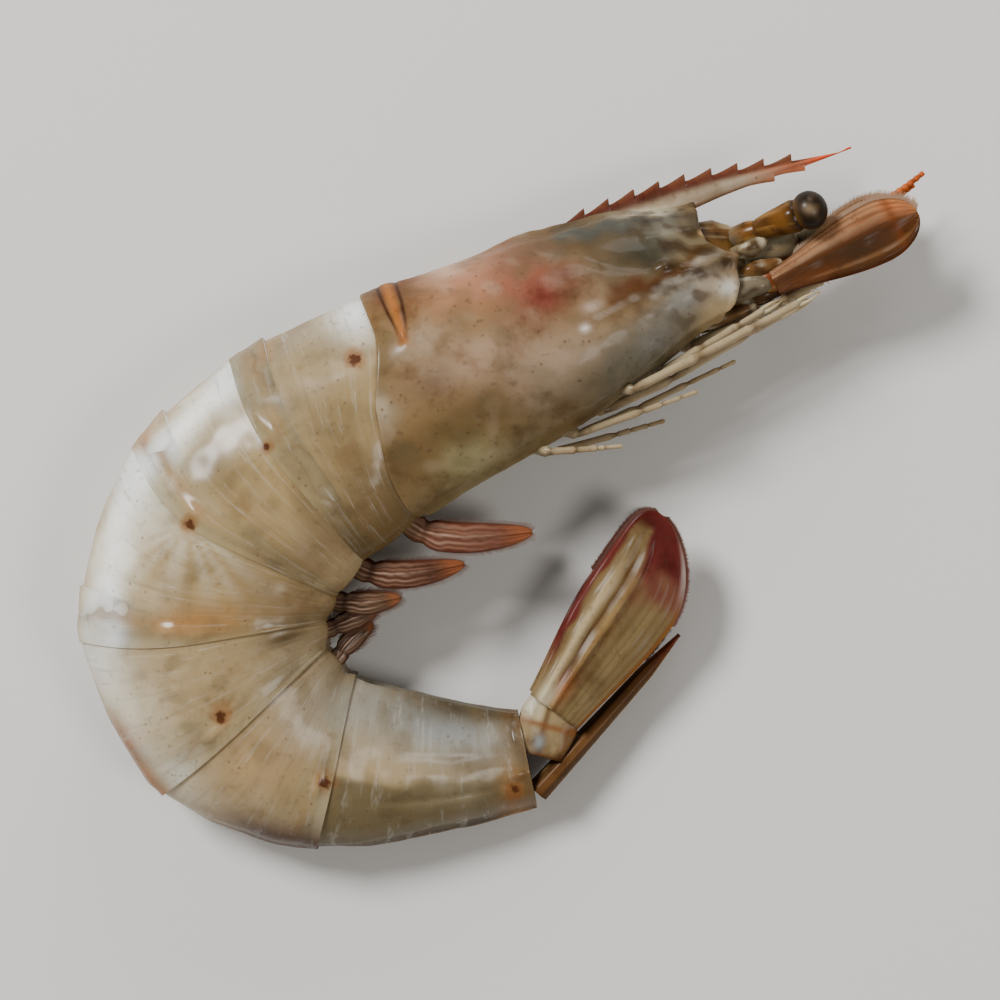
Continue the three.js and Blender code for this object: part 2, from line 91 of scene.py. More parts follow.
bend = RING_TURN / RING_LENGTH
joint_at = np.concatenate([[0.0], np.cumsum(RING_LENGTH)])
joint_turn = np.concatenate([[0.0], np.cumsum(RING_TURN)])
joint_x = np.concatenate([[0.0], np.cumsum(-np.diff(np.sin(joint_turn)) / bend)])
joint_y = np.concatenate([[0.0], np.cumsum(np.diff(np.cos(joint_turn)) / bend)])


def ramp(value, low, high):
    """0 at low, 1 at high, and smooth between; high may be the smaller."""
    share = np.clip((value - low) / (high - low), 0, 1)
    return share * share * (3 - 2 * share)


def hump(value, centre, width):
    """1 at the centre, and falling softly to nothing on both sides."""
    return np.exp(-(((value - centre) / width) ** 2))


def middle_line(distance):
    """The middle line's x, y and turn, at distances tailward of the neck."""
    distance = np.asarray(distance, float)
    ring = np.clip(np.searchsorted(joint_at, distance, side="right") - 1, 0, len(bend) - 1)
    inside = np.clip(distance, 0, joint_at[-1])
    beyond = distance - inside
    turn = joint_turn[ring] + bend[ring] * (inside - joint_at[ring])
    x = joint_x[ring] - (np.sin(turn) - np.sin(joint_turn[ring])) / bend[ring]
    y = joint_y[ring] - (np.cos(joint_turn[ring]) - np.cos(turn)) / bend[ring]
    return x - np.cos(turn) * beyond, y - np.sin(turn) * beyond, turn


def body_rise(distance):
    return np.interp(distance, joint_at, JOINT_WIDTH) / 2 - SETTLE


def lean_of(around):
    """How far round the body an angle lies: 0 on the back, 1 on the belly."""
    return np.where(around > math.pi, 2 * math.pi - around, around) / math.pi


def sweep_at(joint, lean):
    """How far tailward of its joint the shell's edge lies."""
    ease = 1 - SWEEP_EASE * ramp(lean, 0.72, 1)
    return JOINT_SWEEP[joint] * ramp(lean, SWEEP_FROM[joint], SWEEP_WHOLE[joint]) * ease


def outline(around, back, belly, half):
    """The body's section: a full back, upright flanks, and a hollow between the lower edges."""
    up, out = np.cos(around), np.sin(around)
    low = np.maximum(-up, 0)
    size = np.abs(out)
    hollow = BELLY_GROOVE * low**3 * (1 - out**2) ** 3
    above = back * np.maximum(up, 0) ** BACK_POWER
    below = -belly * (low**BELLY_POWER - hollow) / BELLY_DEPTH
    flank = size**FLANK_POWER * (1 - LOWER_NARROWING * low**2)
    reach = np.where(up > 0, size**BACK_POWER, flank)
    return np.where(up > 0, above, below), half * np.sign(out) * reach


def section(distance, sizes, sweep, around):
    """A loop of points round the body, in the head's own frame, in mm."""
    x, y, turn = middle_line(distance + sweep)
    height, side = outline(around, *sizes)
    z = np.maximum(body_rise(distance) + side, 0)
    return np.stack([x - np.sin(turn) * height, y + np.cos(turn) * height, z], axis=-1)


def sizes_at(distance, inset, flatten=0.0):
    """The body's back, belly and half width at a distance, less an inset."""
    return (
        np.interp(distance, joint_at, JOINT_BACK) - inset - flatten,
        np.interp(distance, joint_at, JOINT_BELLY) - inset,
        np.interp(distance, joint_at, JOINT_WIDTH) / 2 - inset,
    )


# The head's own frame lies turned and shifted in the part's frame. The blunt end of the rostrum
# fixes the shift: of the whole head shell, its lower corner lies furthest along x and its upper
# corner furthest along y.
TIP_X, TIP_LOW, TIP_HIGH = 45.3, 5.9, 6.1
shell_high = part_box("head_shell")[1]
AIM_COS, AIM_SIN = math.cos(HEAD_AIM), math.sin(HEAD_AIM)
SHIFT_X = shell_high.x / MM - (TIP_X * AIM_COS - TIP_LOW * AIM_SIN)
SHIFT_Y = shell_high.y / MM - (TIP_X * AIM_SIN + TIP_HIGH * AIM_COS)


def turned(vectors, angle=HEAD_AIM):
    """Points or directions turned about z, by default from the head's frame to the part's."""
    vectors = np.asarray(vectors, float)
    cos, sin = math.cos(angle), math.sin(angle)
    x = vectors[..., 0] * cos - vectors[..., 1] * sin
    y = vectors[..., 0] * sin + vectors[..., 1] * cos
    return np.stack([x, y, vectors[..., 2]], axis=-1)


def placed(points):
    """Points of the head's frame as points of the part's frame, in mm."""
    return turned(points) + (SHIFT_X, SHIFT_Y, 0)


def paint(code):
    """A colour as printed, #rrggbb, in linear light."""
    channels = [int(code[i : i + 2], 16) / 255 for i in (1, 3, 5)]
    linear = [c / 12.92 if c <= 0.04045 else ((c + 0.055) / 1.055) ** 2.4 for c in channels]
    return (*linear, 1.0)


def washed(base, shape, *washes):
    """A base colour under washes: each is a colour and how much of it lies at every point."""
    tone = np.ones((*shape, 3)) * paint(base)[:3]
    for colour, amount in washes:
        amount = np.clip(np.broadcast_to(amount, shape), 0, 1)[..., None]
        tone = tone + (np.array(paint(colour)[:3]) - tone) * amount
    return tone


def patch(seen, x, y, long, wide=None, tilt=0.0):
    """How much of a soft oval patch lies at each point."""
    gap_x, gap_y = seen[..., 0] - x, seen[..., 1] - y
    tilt = math.radians(tilt)
    u = (gap_x * math.cos(tilt) + gap_y * math.sin(tilt)) / long
    v = (gap_y * math.cos(tilt) - gap_x * math.sin(tilt)) / (wide or long)
    return np.exp(-(u**2) - v**2)


def stroke(seen, path, width):
    """How much of a soft line along a path lies at each point."""
    least = np.full(seen.shape[:-1], np.inf)
    for start, end in zip(path, path[1:]):
        start, step = np.array(start, float), np.subtract(end, start)
        share = np.clip((seen[..., :2] - start) @ step / (step @ step), 0, 1)
        gap = seen[..., :2] - start - share[..., None] * step
        least = np.minimum(least, (gap**2).sum(-1))
    return np.exp(-least / width**2)


def rays(seen, x, y, reach):
    """How much of a fan of soft uneven rays out of a spot lies at each point."""
    angle = np.arctan2(seen[..., 1] - y, seen[..., 0] - x)
    bright = 0.5 + 0.5 * np.sin(15 * angle + 2 * np.sin(4 * angle + x) + y)
    ring = np.hypot(seen[..., 1] - y, seen[..., 0] - x)
    return bright * patch(seen, x, y, reach) * ramp(ring, 0.8, 2.0)


def ripple(seen, seed, wave):
    """Slow unevenness, the same each run: crossing waves of about this length in mm."""
    draw = np.random.default_rng(seed)
    total = np.zeros(seen.shape[:-1])
    for _ in range(9):
        heading = draw.normal(size=seen.shape[-1])
        heading *= draw.uniform(0.6, 1.6) * 2 * math.pi / wave / np.linalg.norm(heading)
        total += np.sin(seen @ heading + draw.uniform(0, 2 * math.pi))
    return total / 4


def skin(grid):
    """The points and faces of a closed skin through loops of points, drawn to a point inside the
    first and the last, with its faces outwards."""
    rows, around = grid.shape[:2]
    points = np.concatenate([grid.reshape(-1, 3), grid[:1].mean(1), grid[-1:].mean(1)])
    here = np.arange(around)
    after = np.roll(here, -1)
    start = np.arange(rows - 1)[:, None] * around
    beyond = start + around
    quads = np.stack([start + here, start + after, beyond + after, beyond + here], -1)
    quads = quads.reshape(-1, 4)
    first, last = rows * around, (rows - 1) * around
    caps = [np.stack([first + 0 * here, after, here], -1)]
    caps.append(np.stack([first + 1 + 0 * here, last + here, last + after], -1))
    thirds = np.concatenate([quads[:, :3], quads[:, [0, 2, 3]], *caps])
    a, b, c = (points[thirds[:, i]] - points[0] for i in range(3))
    faces = quads.tolist() + np.concatenate(caps).tolist()
    if (a * np.cross(b, c)).sum() < 0:
        faces = [face[::-1] for face in faces]
    return points, faces


def piece(name, shells, finish, node=None):
    """One object of closed skins. Each shell is its loops and its marks, which are the numbers or
    colours at every point that the finish reads."""
    points, faces, marks = [], [], {}
    for grid, given in shells:
        shell_points, shell_faces = skin(placed(grid))
        start = sum(map(len, points))
        points.append(shell_points)
        faces += [[start + corner for corner in face] for face in shell_faces]
        for mark, values in given.items():
            values = np.broadcast_to(values, (*grid.shape[:2], *values.shape[2:]))
            flat = values.reshape(-1, *values.shape[2:])
            ends = [values[:1].mean(1), values[-1:].mean(1)]
            marks.setdefault(mark, []).append(np.concatenate([flat, *ends]))
    mesh = bpy.data.meshes.new(name)
    mesh.from_pydata((np.concatenate(points) * MM).tolist(), [], faces)
    for mark, values in marks.items():
        add_mark(mesh, mark, np.concatenate(values))
    mesh.shade_smooth()
    mesh.materials.append(finish)
    return fitted(added(name, mesh), node)


def added(name, data):
    """A new object in the scene."""
    thing = bpy.data.objects.new(name, data)
    bpy.context.scene.collection.objects.link(thing)
    return thing


def add_mark(mesh, mark, values):
    """Gives every point of a mesh its number or colour, for a finish to read."""
    if values.ndim == 1:
        mesh.attributes.new(mark, "FLOAT", "POINT").data.foreach_set("value", values)
        return
    attribute = mesh.attributes.new(mark, "FLOAT_COLOR", "POINT")
    opaque = np.concatenate([values, np.ones((len(values), 1))], axis=1)
    attribute.data.foreach_set("color", opaque.ravel())


def fitted(thing, node=None):
    """A finished piece rides on the body and, where it is a whole CAD piece, takes its place."""
    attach(thing, "root")
    if node:
        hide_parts(node)
    return thing


def raised(grid, relief):
    """The loops moved out along their own normals by a relief in mm."""
    along = np.gradient(grid, axis=0)
    normal = np.cross(np.roll(grid, -1, axis=1) - np.roll(grid, 1, axis=1), along)
    normal /= np.maximum(np.linalg.norm(normal, axis=-1, keepdims=True), 1e-9)
    if ((grid - grid.mean(1, keepdims=True)) * normal).sum() < 0:
        normal = -normal
    moved = grid + normal * relief[..., None]
    moved[..., 2] = np.maximum(moved[..., 2], 0)
    return moved


class Signal:
    """A node's output that can be used in sums like a number."""

    def __init__(self, nodes, socket):
        self.nodes, self.socket = nodes, socket

    def __add__(self, other):
        return self.nodes.maths("ADD", self, other)

    def __sub__(self, other):
        return self.nodes.maths("SUBTRACT", self, other)

    def __rsub__(self, other):
        return self.nodes.maths("SUBTRACT", other, self)

    def __mul__(self, other):
        return self.nodes.maths("MULTIPLY", self, other)

    __radd__ = __add__
    __rmul__ = __mul__


class Nodes:
    """A tree of nodes, and the one way that they are made."""

    def put(self, socket, value):
        if isinstance(value, Signal):
            self.tree.links.new(value.socket, socket)
        else:
            socket.default_value = value

    def node(self, kind, settings, sockets, output=0):
        node = self.tree.nodes.new(kind)
        for name, value in settings.items():
            setattr(node, name, value)
        for name, value in sockets.items():
            self.put(node.inputs[name], value)
        return Signal(self, node.outputs[output])

    def maths(self, operation, first, second=0.0):
        return self.node("ShaderNodeMath", {"operation": operation}, {0: first, 1: second})


class Finish(Nodes):
    """A material: one shader, and the nodes that feed it."""

    def __init__(self, name, **sockets):
        self.material = bpy.data.materials.new(name)
        self.material.use_nodes = True
        self.tree = self.material.node_tree
        self.tree.nodes.clear()
        output = self.tree.nodes.new("ShaderNodeOutputMaterial")
        self.shader = self.tree.nodes.new("ShaderNodeBsdfPrincipled")
        self.tree.links.new(self.shader.outputs[0], output.inputs["Surface"])
        self.feed(**sockets)

    def feed(self, **sockets):
        for name, value in sockets.items():
            self.put(self.shader.inputs[name.replace("_", " ")], value)

    def mark(self, name, output="Fac"):
        return self.node("ShaderNodeAttribute", {"attribute_name": name}, {}, output)

    def place(self):
        return self.node("ShaderNodeTexCoord", {}, {}, "Object")

    def noise(self, scale, detail=3.0, rough=0.55, where=None):
        """Soft noise from 0 to 1, with its scale in waves a metre."""
        sockets = {"Vector": where or self.place(), "Scale": scale, "Detail": detail}
        return self.node("ShaderNodeTexNoise", {}, {**sockets, "Roughness": rough})

    def between(self, value, low, high):
        """0 at low, 1 at high, and smooth between; high may be the smaller."""
        sockets = {"Value": value, "From Min": low, "From Max": high}
        return self.node("ShaderNodeMapRange", {"interpolation_type": "SMOOTHSTEP"}, sockets)

    def tint(self, base, other, amount, blend="MIX"):
        """One colour over another by an amount."""
        settings = {"data_type": "RGBA", "blend_type": blend}
        return self.node("ShaderNodeMix", settings, {0: amount, 6: base, 7: other}, 2)

    def dots(self, scale, size, share):
        """Small round dots: cells a metre, and size and share from 0 to 1."""
        sockets = {"Vector": self.place(), "Scale": scale}
        gap = self.node("ShaderNodeTexVoronoi", {}, sockets, "Distance")
        pick = self.node("ShaderNodeTexVoronoi", {}, sockets, "Color")
        return self.between(gap, size, size * 0.3) * self.between(pick, 1 - share, 1.05 - share)

    def spot(self, x, y, size, ragged):
        """A ragged spot that goes right through the body from side to side, in mm."""
        kind = "ShaderNodeVectorMath"
        flat = self.node(kind, {"operation": "MULTIPLY"}, {0: self.place(), 1: (1, 1, 0)})
        centre = {0: flat, 1: (x * MM, y * MM, 0)}
        gap = self.node(kind, {"operation": "DISTANCE"}, centre, "Value")
        return self.between(gap + (ragged - 0.5) * (size * 2.2 * MM), size * MM, size * 0.35 * MM)

    def relief(self, height, depth):
        """Fine unevenness of the surface, this many mm deep."""
        sockets = {"Height": height, "Strength": 1.0, "Distance": depth * MM}
        self.feed(Normal=self.node("ShaderNodeBump", {}, sockets))


# What every wet finish shares.
WET = {
    "Roughness": 0.5,
    "IOR": 1.42,
    "Specular_IOR_Level": 0.0,
    "Coat_Roughness": 0.2,
    "Coat_IOR": 1.4,
    "Subsurface_Radius": (1.0, 0.66, 0.45),
    "Subsurface_Scale": 1.5 * MM,
}


def shell_finish(name, see_through=0.3, clouds=0.5, freckles=0.5, depth=0.12, shine=0.5):
    """Wet, slightly see-through shell in each piece's own colours, clouded and finely freckled."""
    finish = Finish(name, **WET, Subsurface_Weight=see_through, Coat_Weight=shine)
    cloud = finish.noise(190, 4, 0.62)
    grain = finish.noise(1300, 3, 0.6)
    tone = finish.mark("tone", "Color")
    for colour, blots, low, high, strength, blend in (
        ("#c9c4b4", cloud, 0.5, 0.72, 0.5, "SOFT_LIGHT"),
        ("#4d3a22", cloud, 0.5, 0.3, 0.7, "SOFT_LIGHT"),
        ("#3f2f20", grain, 0.56, 0.75, 0.5, "MIX"),
    ):
        amount = finish.between(blots, low, high) * (strength * clouds)
        tone = finish.tint(tone, paint(colour), amount, blend)
    freckle = finish.dots(1500, 0.3, 0.3) * finish.between(cloud, 0.3, 0.6)
    tone = finish.tint(tone, paint("#5a3822"), freckle * freckles)
    finish.feed(Base_Color=tone)
    finish.relief(cloud * 0.6 + grain * 0.25, depth)
    return finish, tone, cloud, grain


def ring_finish():
    """Ring shell: also streaked from back to belly, with a dark hinge spot at each joint."""
    finish, tone, cloud, grain = shell_finish("ring_shell", 0.35, 0.5, 0.5, 0.14, 0.6)
    across = {"X": finish.mark("along") * 1.0, "Y": finish.mark("lean") * 0.2, "Z": cloud * 0.12}
    where = finish.node("ShaderNodeCombineXYZ", {}, across)
    streak = finish.noise(19, 4, 0.65, where)
    tone = finish.tint(tone, paint("#6d5738"), finish.between(streak, 0.52, 0.78) * 0.35)
    tone = finish.tint(tone, paint("#d3d0c6"), finish.between(streak, 0.46, 0.26) * 0.25)
    for x, y, size in HINGE_SPOTS:
        tone = finish.tint(tone, paint("#8a5628"), finish.spot(x, y, size * 1.9, cloud) * 0.6)
        tone = finish.tint(tone, paint("#4a210c"), finish.spot(x, y, size, grain) * 0.9)
    finish.feed(Base_Color=tone)
    return finish.material


# Each joint has a knob on either flank that the next ring turns on, with dark pigment round it:
# the spots' places and sizes in mm.
HINGE_SPOTS = [
    (-12.8, 12.5, 0.75),
    (-20.6, 4.7, 0.5),
    (-27.4, -2.1, 0.6),
    (-24.8, -19.4, 0.75),
    (-15.8, -25.4, 0.75),
    (1.3, -26.4, 0.6),
]

# How strongly each ring shows the pale crest of the back and the blue-white corner in front of it,
# both part shell colour and part painted highlight, the brown lower flank, part shell colour and
# part painted shade, and the brown band at the rear.
RING_CREST_AND_HIGHLIGHT = [0.1, 0.75, 1.0, 0.75, 0.2, 0.0]
RING_CORNER_AND_HIGHLIGHT = [1.0, 0.85, 0.9, 0.5, 0.1, 0.1]
RING_LOW_AND_SHADE = [1.0, 1.0, 0.95, 0.5, 0.4, 0.0]
RING_BAND = [0.35, 0.8, 0.55, 0.3, 0.45, 0.6]

# The line of wet gleam that the photo shows down the back of the second to fourth rings.
CREST_GLEAM = [(-24.8, 9.7), (-28.5, 6.2), (-32.4, 2.2), (-34.2, -2.5), (-35, -7.5), (-34.2, -12)]


def ring_tone(index, grid, along, lean):
    """The ring's colours: grey-beige flesh, blue-white along the back, part shell colour and part
    painted highlight, and brown at the edges, deepened low on the flank as painted shade.
    """
    first, second, third, fourth, fifth, last = (index == ring for ring in range(6))
    seen = placed(grid)
    drifted_lean = lean + 0.05 * ripple(seen, 40 + index, 7.0)
    mottle = ripple(seen, 70 + index, 3.4)

    def blot(at, length, lean_at, breadth):
        return hump(along, at, length) * hump(lean, lean_at, breadth)

    rear_fades = 1 - 0.9 * ramp(along, 0.3, 0.65)
    return washed(
        "#b09b75",
        along.shape,
        ("#a38b62", ramp(drifted_lean, 0.28, 0.5) * (1 - 0.5 * (index > 2))),
        # Brown lower flank: part shell colour, part painted shade where the flank turns from the
        # light; darkest on the first ring.
        ("#7b6647", ramp(drifted_lean, 0.5, 0.68) * RING_LOW_AND_SHADE[index]),
        ("#6a5331", ramp(drifted_lean, 0.58, 0.8) * 0.9 * first),
        ("#a8916b", ramp(lean, 0.66, 0.8) * (second + fourth + third * rear_fades)),
        # Painted shade on the first ring's upper flank, behind its front.
        ("#7d6d4f", ramp(drifted_lean, 0.5, 0.16) * ramp(along, 0.15, 0.55) * 0.9 * first),
        ("#86765a", blot(0.35, 0.16, 0.25, 0.07) * 0.6 * first),
        ("#7c6847", blot(0.45, 0.3, 0.48, 0.1) * 0.75 * first),
        # Painted shade: a dark patch low on the fourth ring's front flank.
        ("#433520", blot(0.2, 0.18, 0.66, 0.07) * 0.85 * fourth),
        ("#ab9b7c", blot(0.65, 0.2, 0.65, 0.07) * 0.7 * fourth),
        # Pale crest of the back: part shell colour, part painted highlight.
        ("#ebe4d0", hump(drifted_lean, 0.2, 0.1) * RING_CREST_AND_HIGHLIGHT[index]),
        ("#fffdf6", stroke(seen, CREST_GLEAM, 1.1) * 0.9),
        ("#7d6a45", blot(0.55, 0.25, 0.37, 0.08) * 0.85 * second),
        # Blue-white front corner of each ring's back: part shell colour, part painted highlight.
        ("#e6e9e8", blot(0.1, 0.16, 0.16, 0.12) * RING_CORNER_AND_HIGHLIGHT[index]),
        ("#8a6036", hump(lean, 0, 0.06) * ramp(along, 0.2, 0.6) * 0.75),
        ("#a5733f", patch(seen, -21.2, 13.0, 2.2, 0.9, 70) * 0.5 * first),
        # Blue-white line down the second ring's front edge: part shell colour, part painted
        # highlight.
        ("#dde0dc", stroke(seen, [(-22.6, 11.3), (-21.6, 7.6), (-20.9, 4.9)], 0.45) * 0.7 * second),
        ("#a8682f", patch(seen, -31.9, 5.4, 1.0) * 0.8),
        ("#925826", hump(lean, 0.09, 0.1) * ramp(along, 0.3, 0.7) * 0.9 * fourth),
        ("#a5845a", patch(seen, -21, -23.9, 5.0, 4.0) * 0.7),
        ("#8f8b80", patch(seen, -13.5, -18.2, 6.0, 3.4, 20) * 0.75),
        # Blue-grey wash on the last ring's flank that faces the light: part shell colour, part
        # painted reflection.
        ("#8d8f8b", patch(seen, -5.0, -20.8, 7.5, 3.2, -14) * last),
        ("#4f4533", ramp(lean, 0.6, 0.78) * ramp(along, -0.1, 0.7) * 0.95 * last),
        ("#6c5e42", ramp(drifted_lean, 0.5, 0.42) * 0.95 * last),
        ("#43331b", ramp(lean, 0.2, 0.06) * 0.8 * last),
        ("#867b62", patch(seen, -2.5, -26.6, 4.0, 1.6, -8) * 0.6 * last),
        ("#5f4325", ramp(along, 0.86, 0.99) * 0.8 * last),
        ("#8a7049", patch(seen, -20.5, -8.5, 6.0, 3.0) * 0.5),
        ("#cfcbb8", rays(seen, -27.4, -2.1, 6.0) * 0.55 * third),
        ("#5b4526", rays(seen, -20.6, 4.7, 4.5) * 0.3),
        ("#5b4526", rays(seen, -24.8, -19.4, 3.5) * 0.3),
        ("#4f4029", patch(seen, -2.0, -24.2, 3.2, 1.0, 4) * last * 0.5),
        ("#9c7243", hump(along, 0.9, 0.07) * ramp(lean, 0.62, 0.3) * RING_BAND[index]),
        ("#8d7350", hump(along, 1.0, 0.03) * ramp(lean, 0.8, 0.4) * 0.2),
        ("#a0713f", patch(seen, -26.7, -10.7, 5.0, 1.4) * 0.8 * third),
        ("#6d5126", patch(seen, -14.4, -11.5, 1.6, 3.0) * 0.7),
        ("#4a2b10", ramp(lean, 0.36, 0.12) * ramp(along, 0.1, 0.7) * fifth),
        ("#6b583b", ramp(lean, 0.55, 0.82) * ramp(along, 0.4, 0.75) * 0.6 * fifth),
        ("#8b7a58", blot(0.75, 0.25, 0.36, 0.09) * 0.5 * fifth),
        ("#6b5a3c", ramp(mottle, 0.1, 1.0) * ramp(lean, 0.22, 0.36) * 0.36),
    )


def ring_relief(index, grid, along, lean):
    """The shell's low relief in mm: a rolled rear edge, hinge knobs, folds and a keel."""
    relief = -0.02 * hump(along, 0.86, 0.08)
    relief += 0.25 * hump(along, 0.95, 0.06) * hump(lean, 0.42, 0.035)
    relief += 0.11 * ripple(grid, 11 + index, 9.0) + 0.035 * ripple(grid, 21 + index, 2.6)
    relief += 0.35 * ramp(lean, 0.72, 0.86) * np.sin(math.pi * np.clip(along, 0, 1))
    if index >= 3:
        relief += (0.2 + 0.12 * (index - 3)) * hump(lean, 0, 0.03) * ramp(along, 0, 0.4)
    if index == 5:
        for line in (0.36, 0.52):
            relief -= 0.16 * hump(lean, line, 0.022) * hump(along, 0.5, 0.32)
    return relief


def closer_past(turn, coarse, fine):
    """Shares from 0 to 1 that lie closer together past one of them."""
    return np.concatenate([np.linspace(0, turn, coarse), np.linspace(turn, 1, fine)[1:]])


def ring_shell(index):
    """One ring's loops and marks, from the collar to the floor of the hollow behind."""
    lean = lean_of(ring_around)
    start, end = joint_at[index], joint_at[index + 1]
    last = index + 1 == len(RING_LENGTH)
    front, rear = sweep_at(index, lean), sweep_at(index + 1, lean)
    collar = [
        section(start + step, sizes_at(start + max(step, 0), TUCK[index]), front, ring_around)
        for step in (-COLLAR, -COLLAR / 2, 0, LIP * 0.5)
    ]
    shares = closer_past(*RING_LOOPS)
    outer = []
    for share in shares:
        at = start + LIP + (end - start - LIP) * share
        sizes = sizes_at(at, TUCK[index] * (1 - share) ** 4, FLATTEN * math.sin(math.pi * share))
        outer.append(section(at, sizes, front + (rear - front) * share, ring_around))
    edge = end + (LAST_LIP if last else LIP)
    steps = (edge - end) * lip_steps
    for step in steps:
        outer.append(section(end + step, sizes_at(end, 0), rear, ring_around))
    shares = np.concatenate([shares, 1 + steps / (end - start)])
    rim = []
    for turn in rim_turns:
        sizes = sizes_at(end, EDGE * (1 - math.cos(turn)) / 2)
        rim.append(section(edge + EDGE / 2 * math.sin(turn), sizes, rear, ring_around))
    floor = end - (LAST_DEPTH if last else COLLAR)
    inner = [
        section(edge + (floor - edge) * depth, sizes_at(end, EDGE), rear, ring_around)
        for depth in (0.3, 0.65, 1.0)
    ]
    outer = np.array(outer)
    along, leans = np.meshgrid(shares, lean, indexing="ij")
    relief = ring_relief(index, outer, along, leans) * ramp(along, 0.0, 0.15)
    settled = 1 - ramp(along, 1.0, 1.0 + LIP / 12)
    outer = raised(outer, relief * settled)
    grid = np.concatenate([collar, outer, rim, inner])
    along = np.pad(along, ((len(collar), len(rim) + len(inner)), (0, 0)), "edge")
    along[: len(collar)] = 0
    leans = np.tile(lean, (len(grid), 1))
    return grid, {"tone": ring_tone(index, grid, along, leans), "along": along, "lean": leans}


ring_material = ring_finish()
for index in range(len(RING_LENGTH)):
    number = index + 1
    shell = ring_shell(index)
    piece(f"ring_{number}", [shell], ring_material, f"abdomen_ring_{number}")

# ---- Head shell and rostrum ------------------------------------------------------------------
# One stiff shell over head and chest, open in front, thin enough to show the pink and olive
# organs under it. A saw-toothed blade grows forward from its back. Its rear rim is thick.

HEAD_X = np.array([0.0, 5, 10, 15, 20, 25, 29, 33])
HEAD_BACK = np.array([10.45, 10.1, 9.7, 9.3, 8.8, 7.8, 6.6, 5.3])
HEAD_BELLY = np.array([10.2, 9.4, 8.6, 7.5, 6.1, 4.7, 3.8, 3.2])
HEAD_HALF = np.array([8.3, 8.5, 8.4, 7.9, 7.0, 5.8, 4.6, 3.3])
HEAD_RISE = JOINT_WIDTH[0] / 2 - SETTLE
HEAD_RIM = 0.35  # thickness of the head shell's rear rim

# The shell's front margin, from the back to the belly: under the rostrum, the bay for the eye,
# the spine beside the feelers, and the long slope to the lower edge.
MARGIN_LEAN = [0.0, 0.1, 0.2, 0.28, 0.36, 0.43, 0.47, 0.52, 0.62, 0.75, 0.86, 1.0]
MARGIN_X = [30.0, 29.9, 29.6, 29.3, 29.4, 30.6, 31.6, 31.0, 30.8, 29.8, 28.0, 27.0]

HEAD_LOOPS = (0.85, 118, 40)

head_around = full_turn(216)


def eased(keys, values, x):
    """A smooth curve through values at keys."""
    slopes = np.gradient(values, keys)
    i = np.clip(np.searchsorted(keys, x) - 1, 0, len(keys) - 2)
    step = keys[i + 1] - keys[i]
    t = np.clip((x - keys[i]) / step, 0, 1)
    start = values[i] * (1 + 2 * t) * (1 - t) ** 2 + slopes[i] * step * t * (1 - t) ** 2
    return start + values[i + 1] * t**2 * (3 - 2 * t) - slopes[i + 1] * step * t**2 * (1 - t)


def head_sizes(x, inset=0.0):
    return [eased(HEAD_X, values, x) - inset for values in (HEAD_BACK, HEAD_BELLY, HEAD_HALF)]


def head_section(x, inset, around):
    """A loop of points round the head at x, which may change from point to point."""
    sweep = sweep_at(0, lean_of(around)) * ramp(1 - x / HEAD_X[-1], 0.4, 1)
    return section(-x, head_sizes(x, inset), sweep, around)


# The two dark lines along the thick rear rim, the low ridge between them and its orange band.
REAR_LINES = (
    [(0.5, 10.8), (0.6, 8.0), (0.75, 6.0), (0.85, 4.6)],
    [(2.3, 10.6), (2.15, 8.0), (1.8, 6.2), (1.35, 4.6)],
)
REAR_RIDGE = [(1.4, 10.7), (1.35, 8.0), (1.25, 5.8), (1.1, 4.4)]
REAR_BAND = [(1.4, 10.8), (1.35, 8.0), (1.2, 5.6), (1.05, 4.6)]

# The head shell's grooves, which are below zero, its ridges and one spine: height in mm, then
# path and width, or place, half length, half width and tilt.
HEAD_RIDGES = (
    (-0.3, [(16.2, 8.2), (18.6, 5.8), (21.4, 3.6), (24.0, 2.5)], 0.75),
    (0.42, 24.9, 2.1, 0.9, 0.4, -8),
    (0.3, [(32.4, 0.6), (29.6, 0.9), (26.4, 1.2)], 0.4),
    (-0.22, [(30.5, -0.6), (26.5, 0.0), (23.0, 0.1), (17.5, -0.6)], 0.7),
    (0.16, [(29.7, 4.0), (27.0, 4.9), (24.5, 5.0)], 0.5),
    (-0.22, [(9.0, 6.9), (13.0, 6.6), (16.2, 8.0)], 0.9),
)
# Its slow and fine unevenness: height, seed and wave length in mm.
HEAD_WAVES = ((0.15, 5, 8.0), (0.03, 6, 2.4), (0.01, 8, 1.1))


def marked(seen, form):
    """How much of a soft line or oval lies at each point."""
    return (stroke if isinstance(form[0], list) else patch)(seen, *form)


def head_relief(grid, lean, ahead):
    """The head shell's relief in mm: grooves between its regions, ridges, spines and rims."""
    seen, x = grid[..., :2], grid[..., 0]
    relief = sum(height * marked(seen, form) for height, *form in HEAD_RIDGES)
    relief += 0.5 * hump(lean, 0, 0.022) * ramp(x, 7, 15)
    relief -= 0.2 * hump(lean, 0.055, 0.025) * ramp(x, 12, 18)
    relief += 0.12 * hump(ahead, 0.25, 0.3) - 0.06 * hump(ahead, 1.0, 0.4)
    for line in REAR_LINES:
        relief -= 0.1 * stroke(seen, line, 0.2)
    relief += 0.08 * stroke(seen, REAR_RIDGE, 0.5)
    relief += 0.28 * hump(lean, 0.85, 0.022) - 0.15 * hump(lean, 0.805, 0.02)
    relief -= 0.9 * ramp(lean, 0.875, 0.905) * ramp(x, 0.5, 4)
    return relief + sum(height * ripple(grid, seed, wave) for height, seed, wave in HEAD_WAVES)


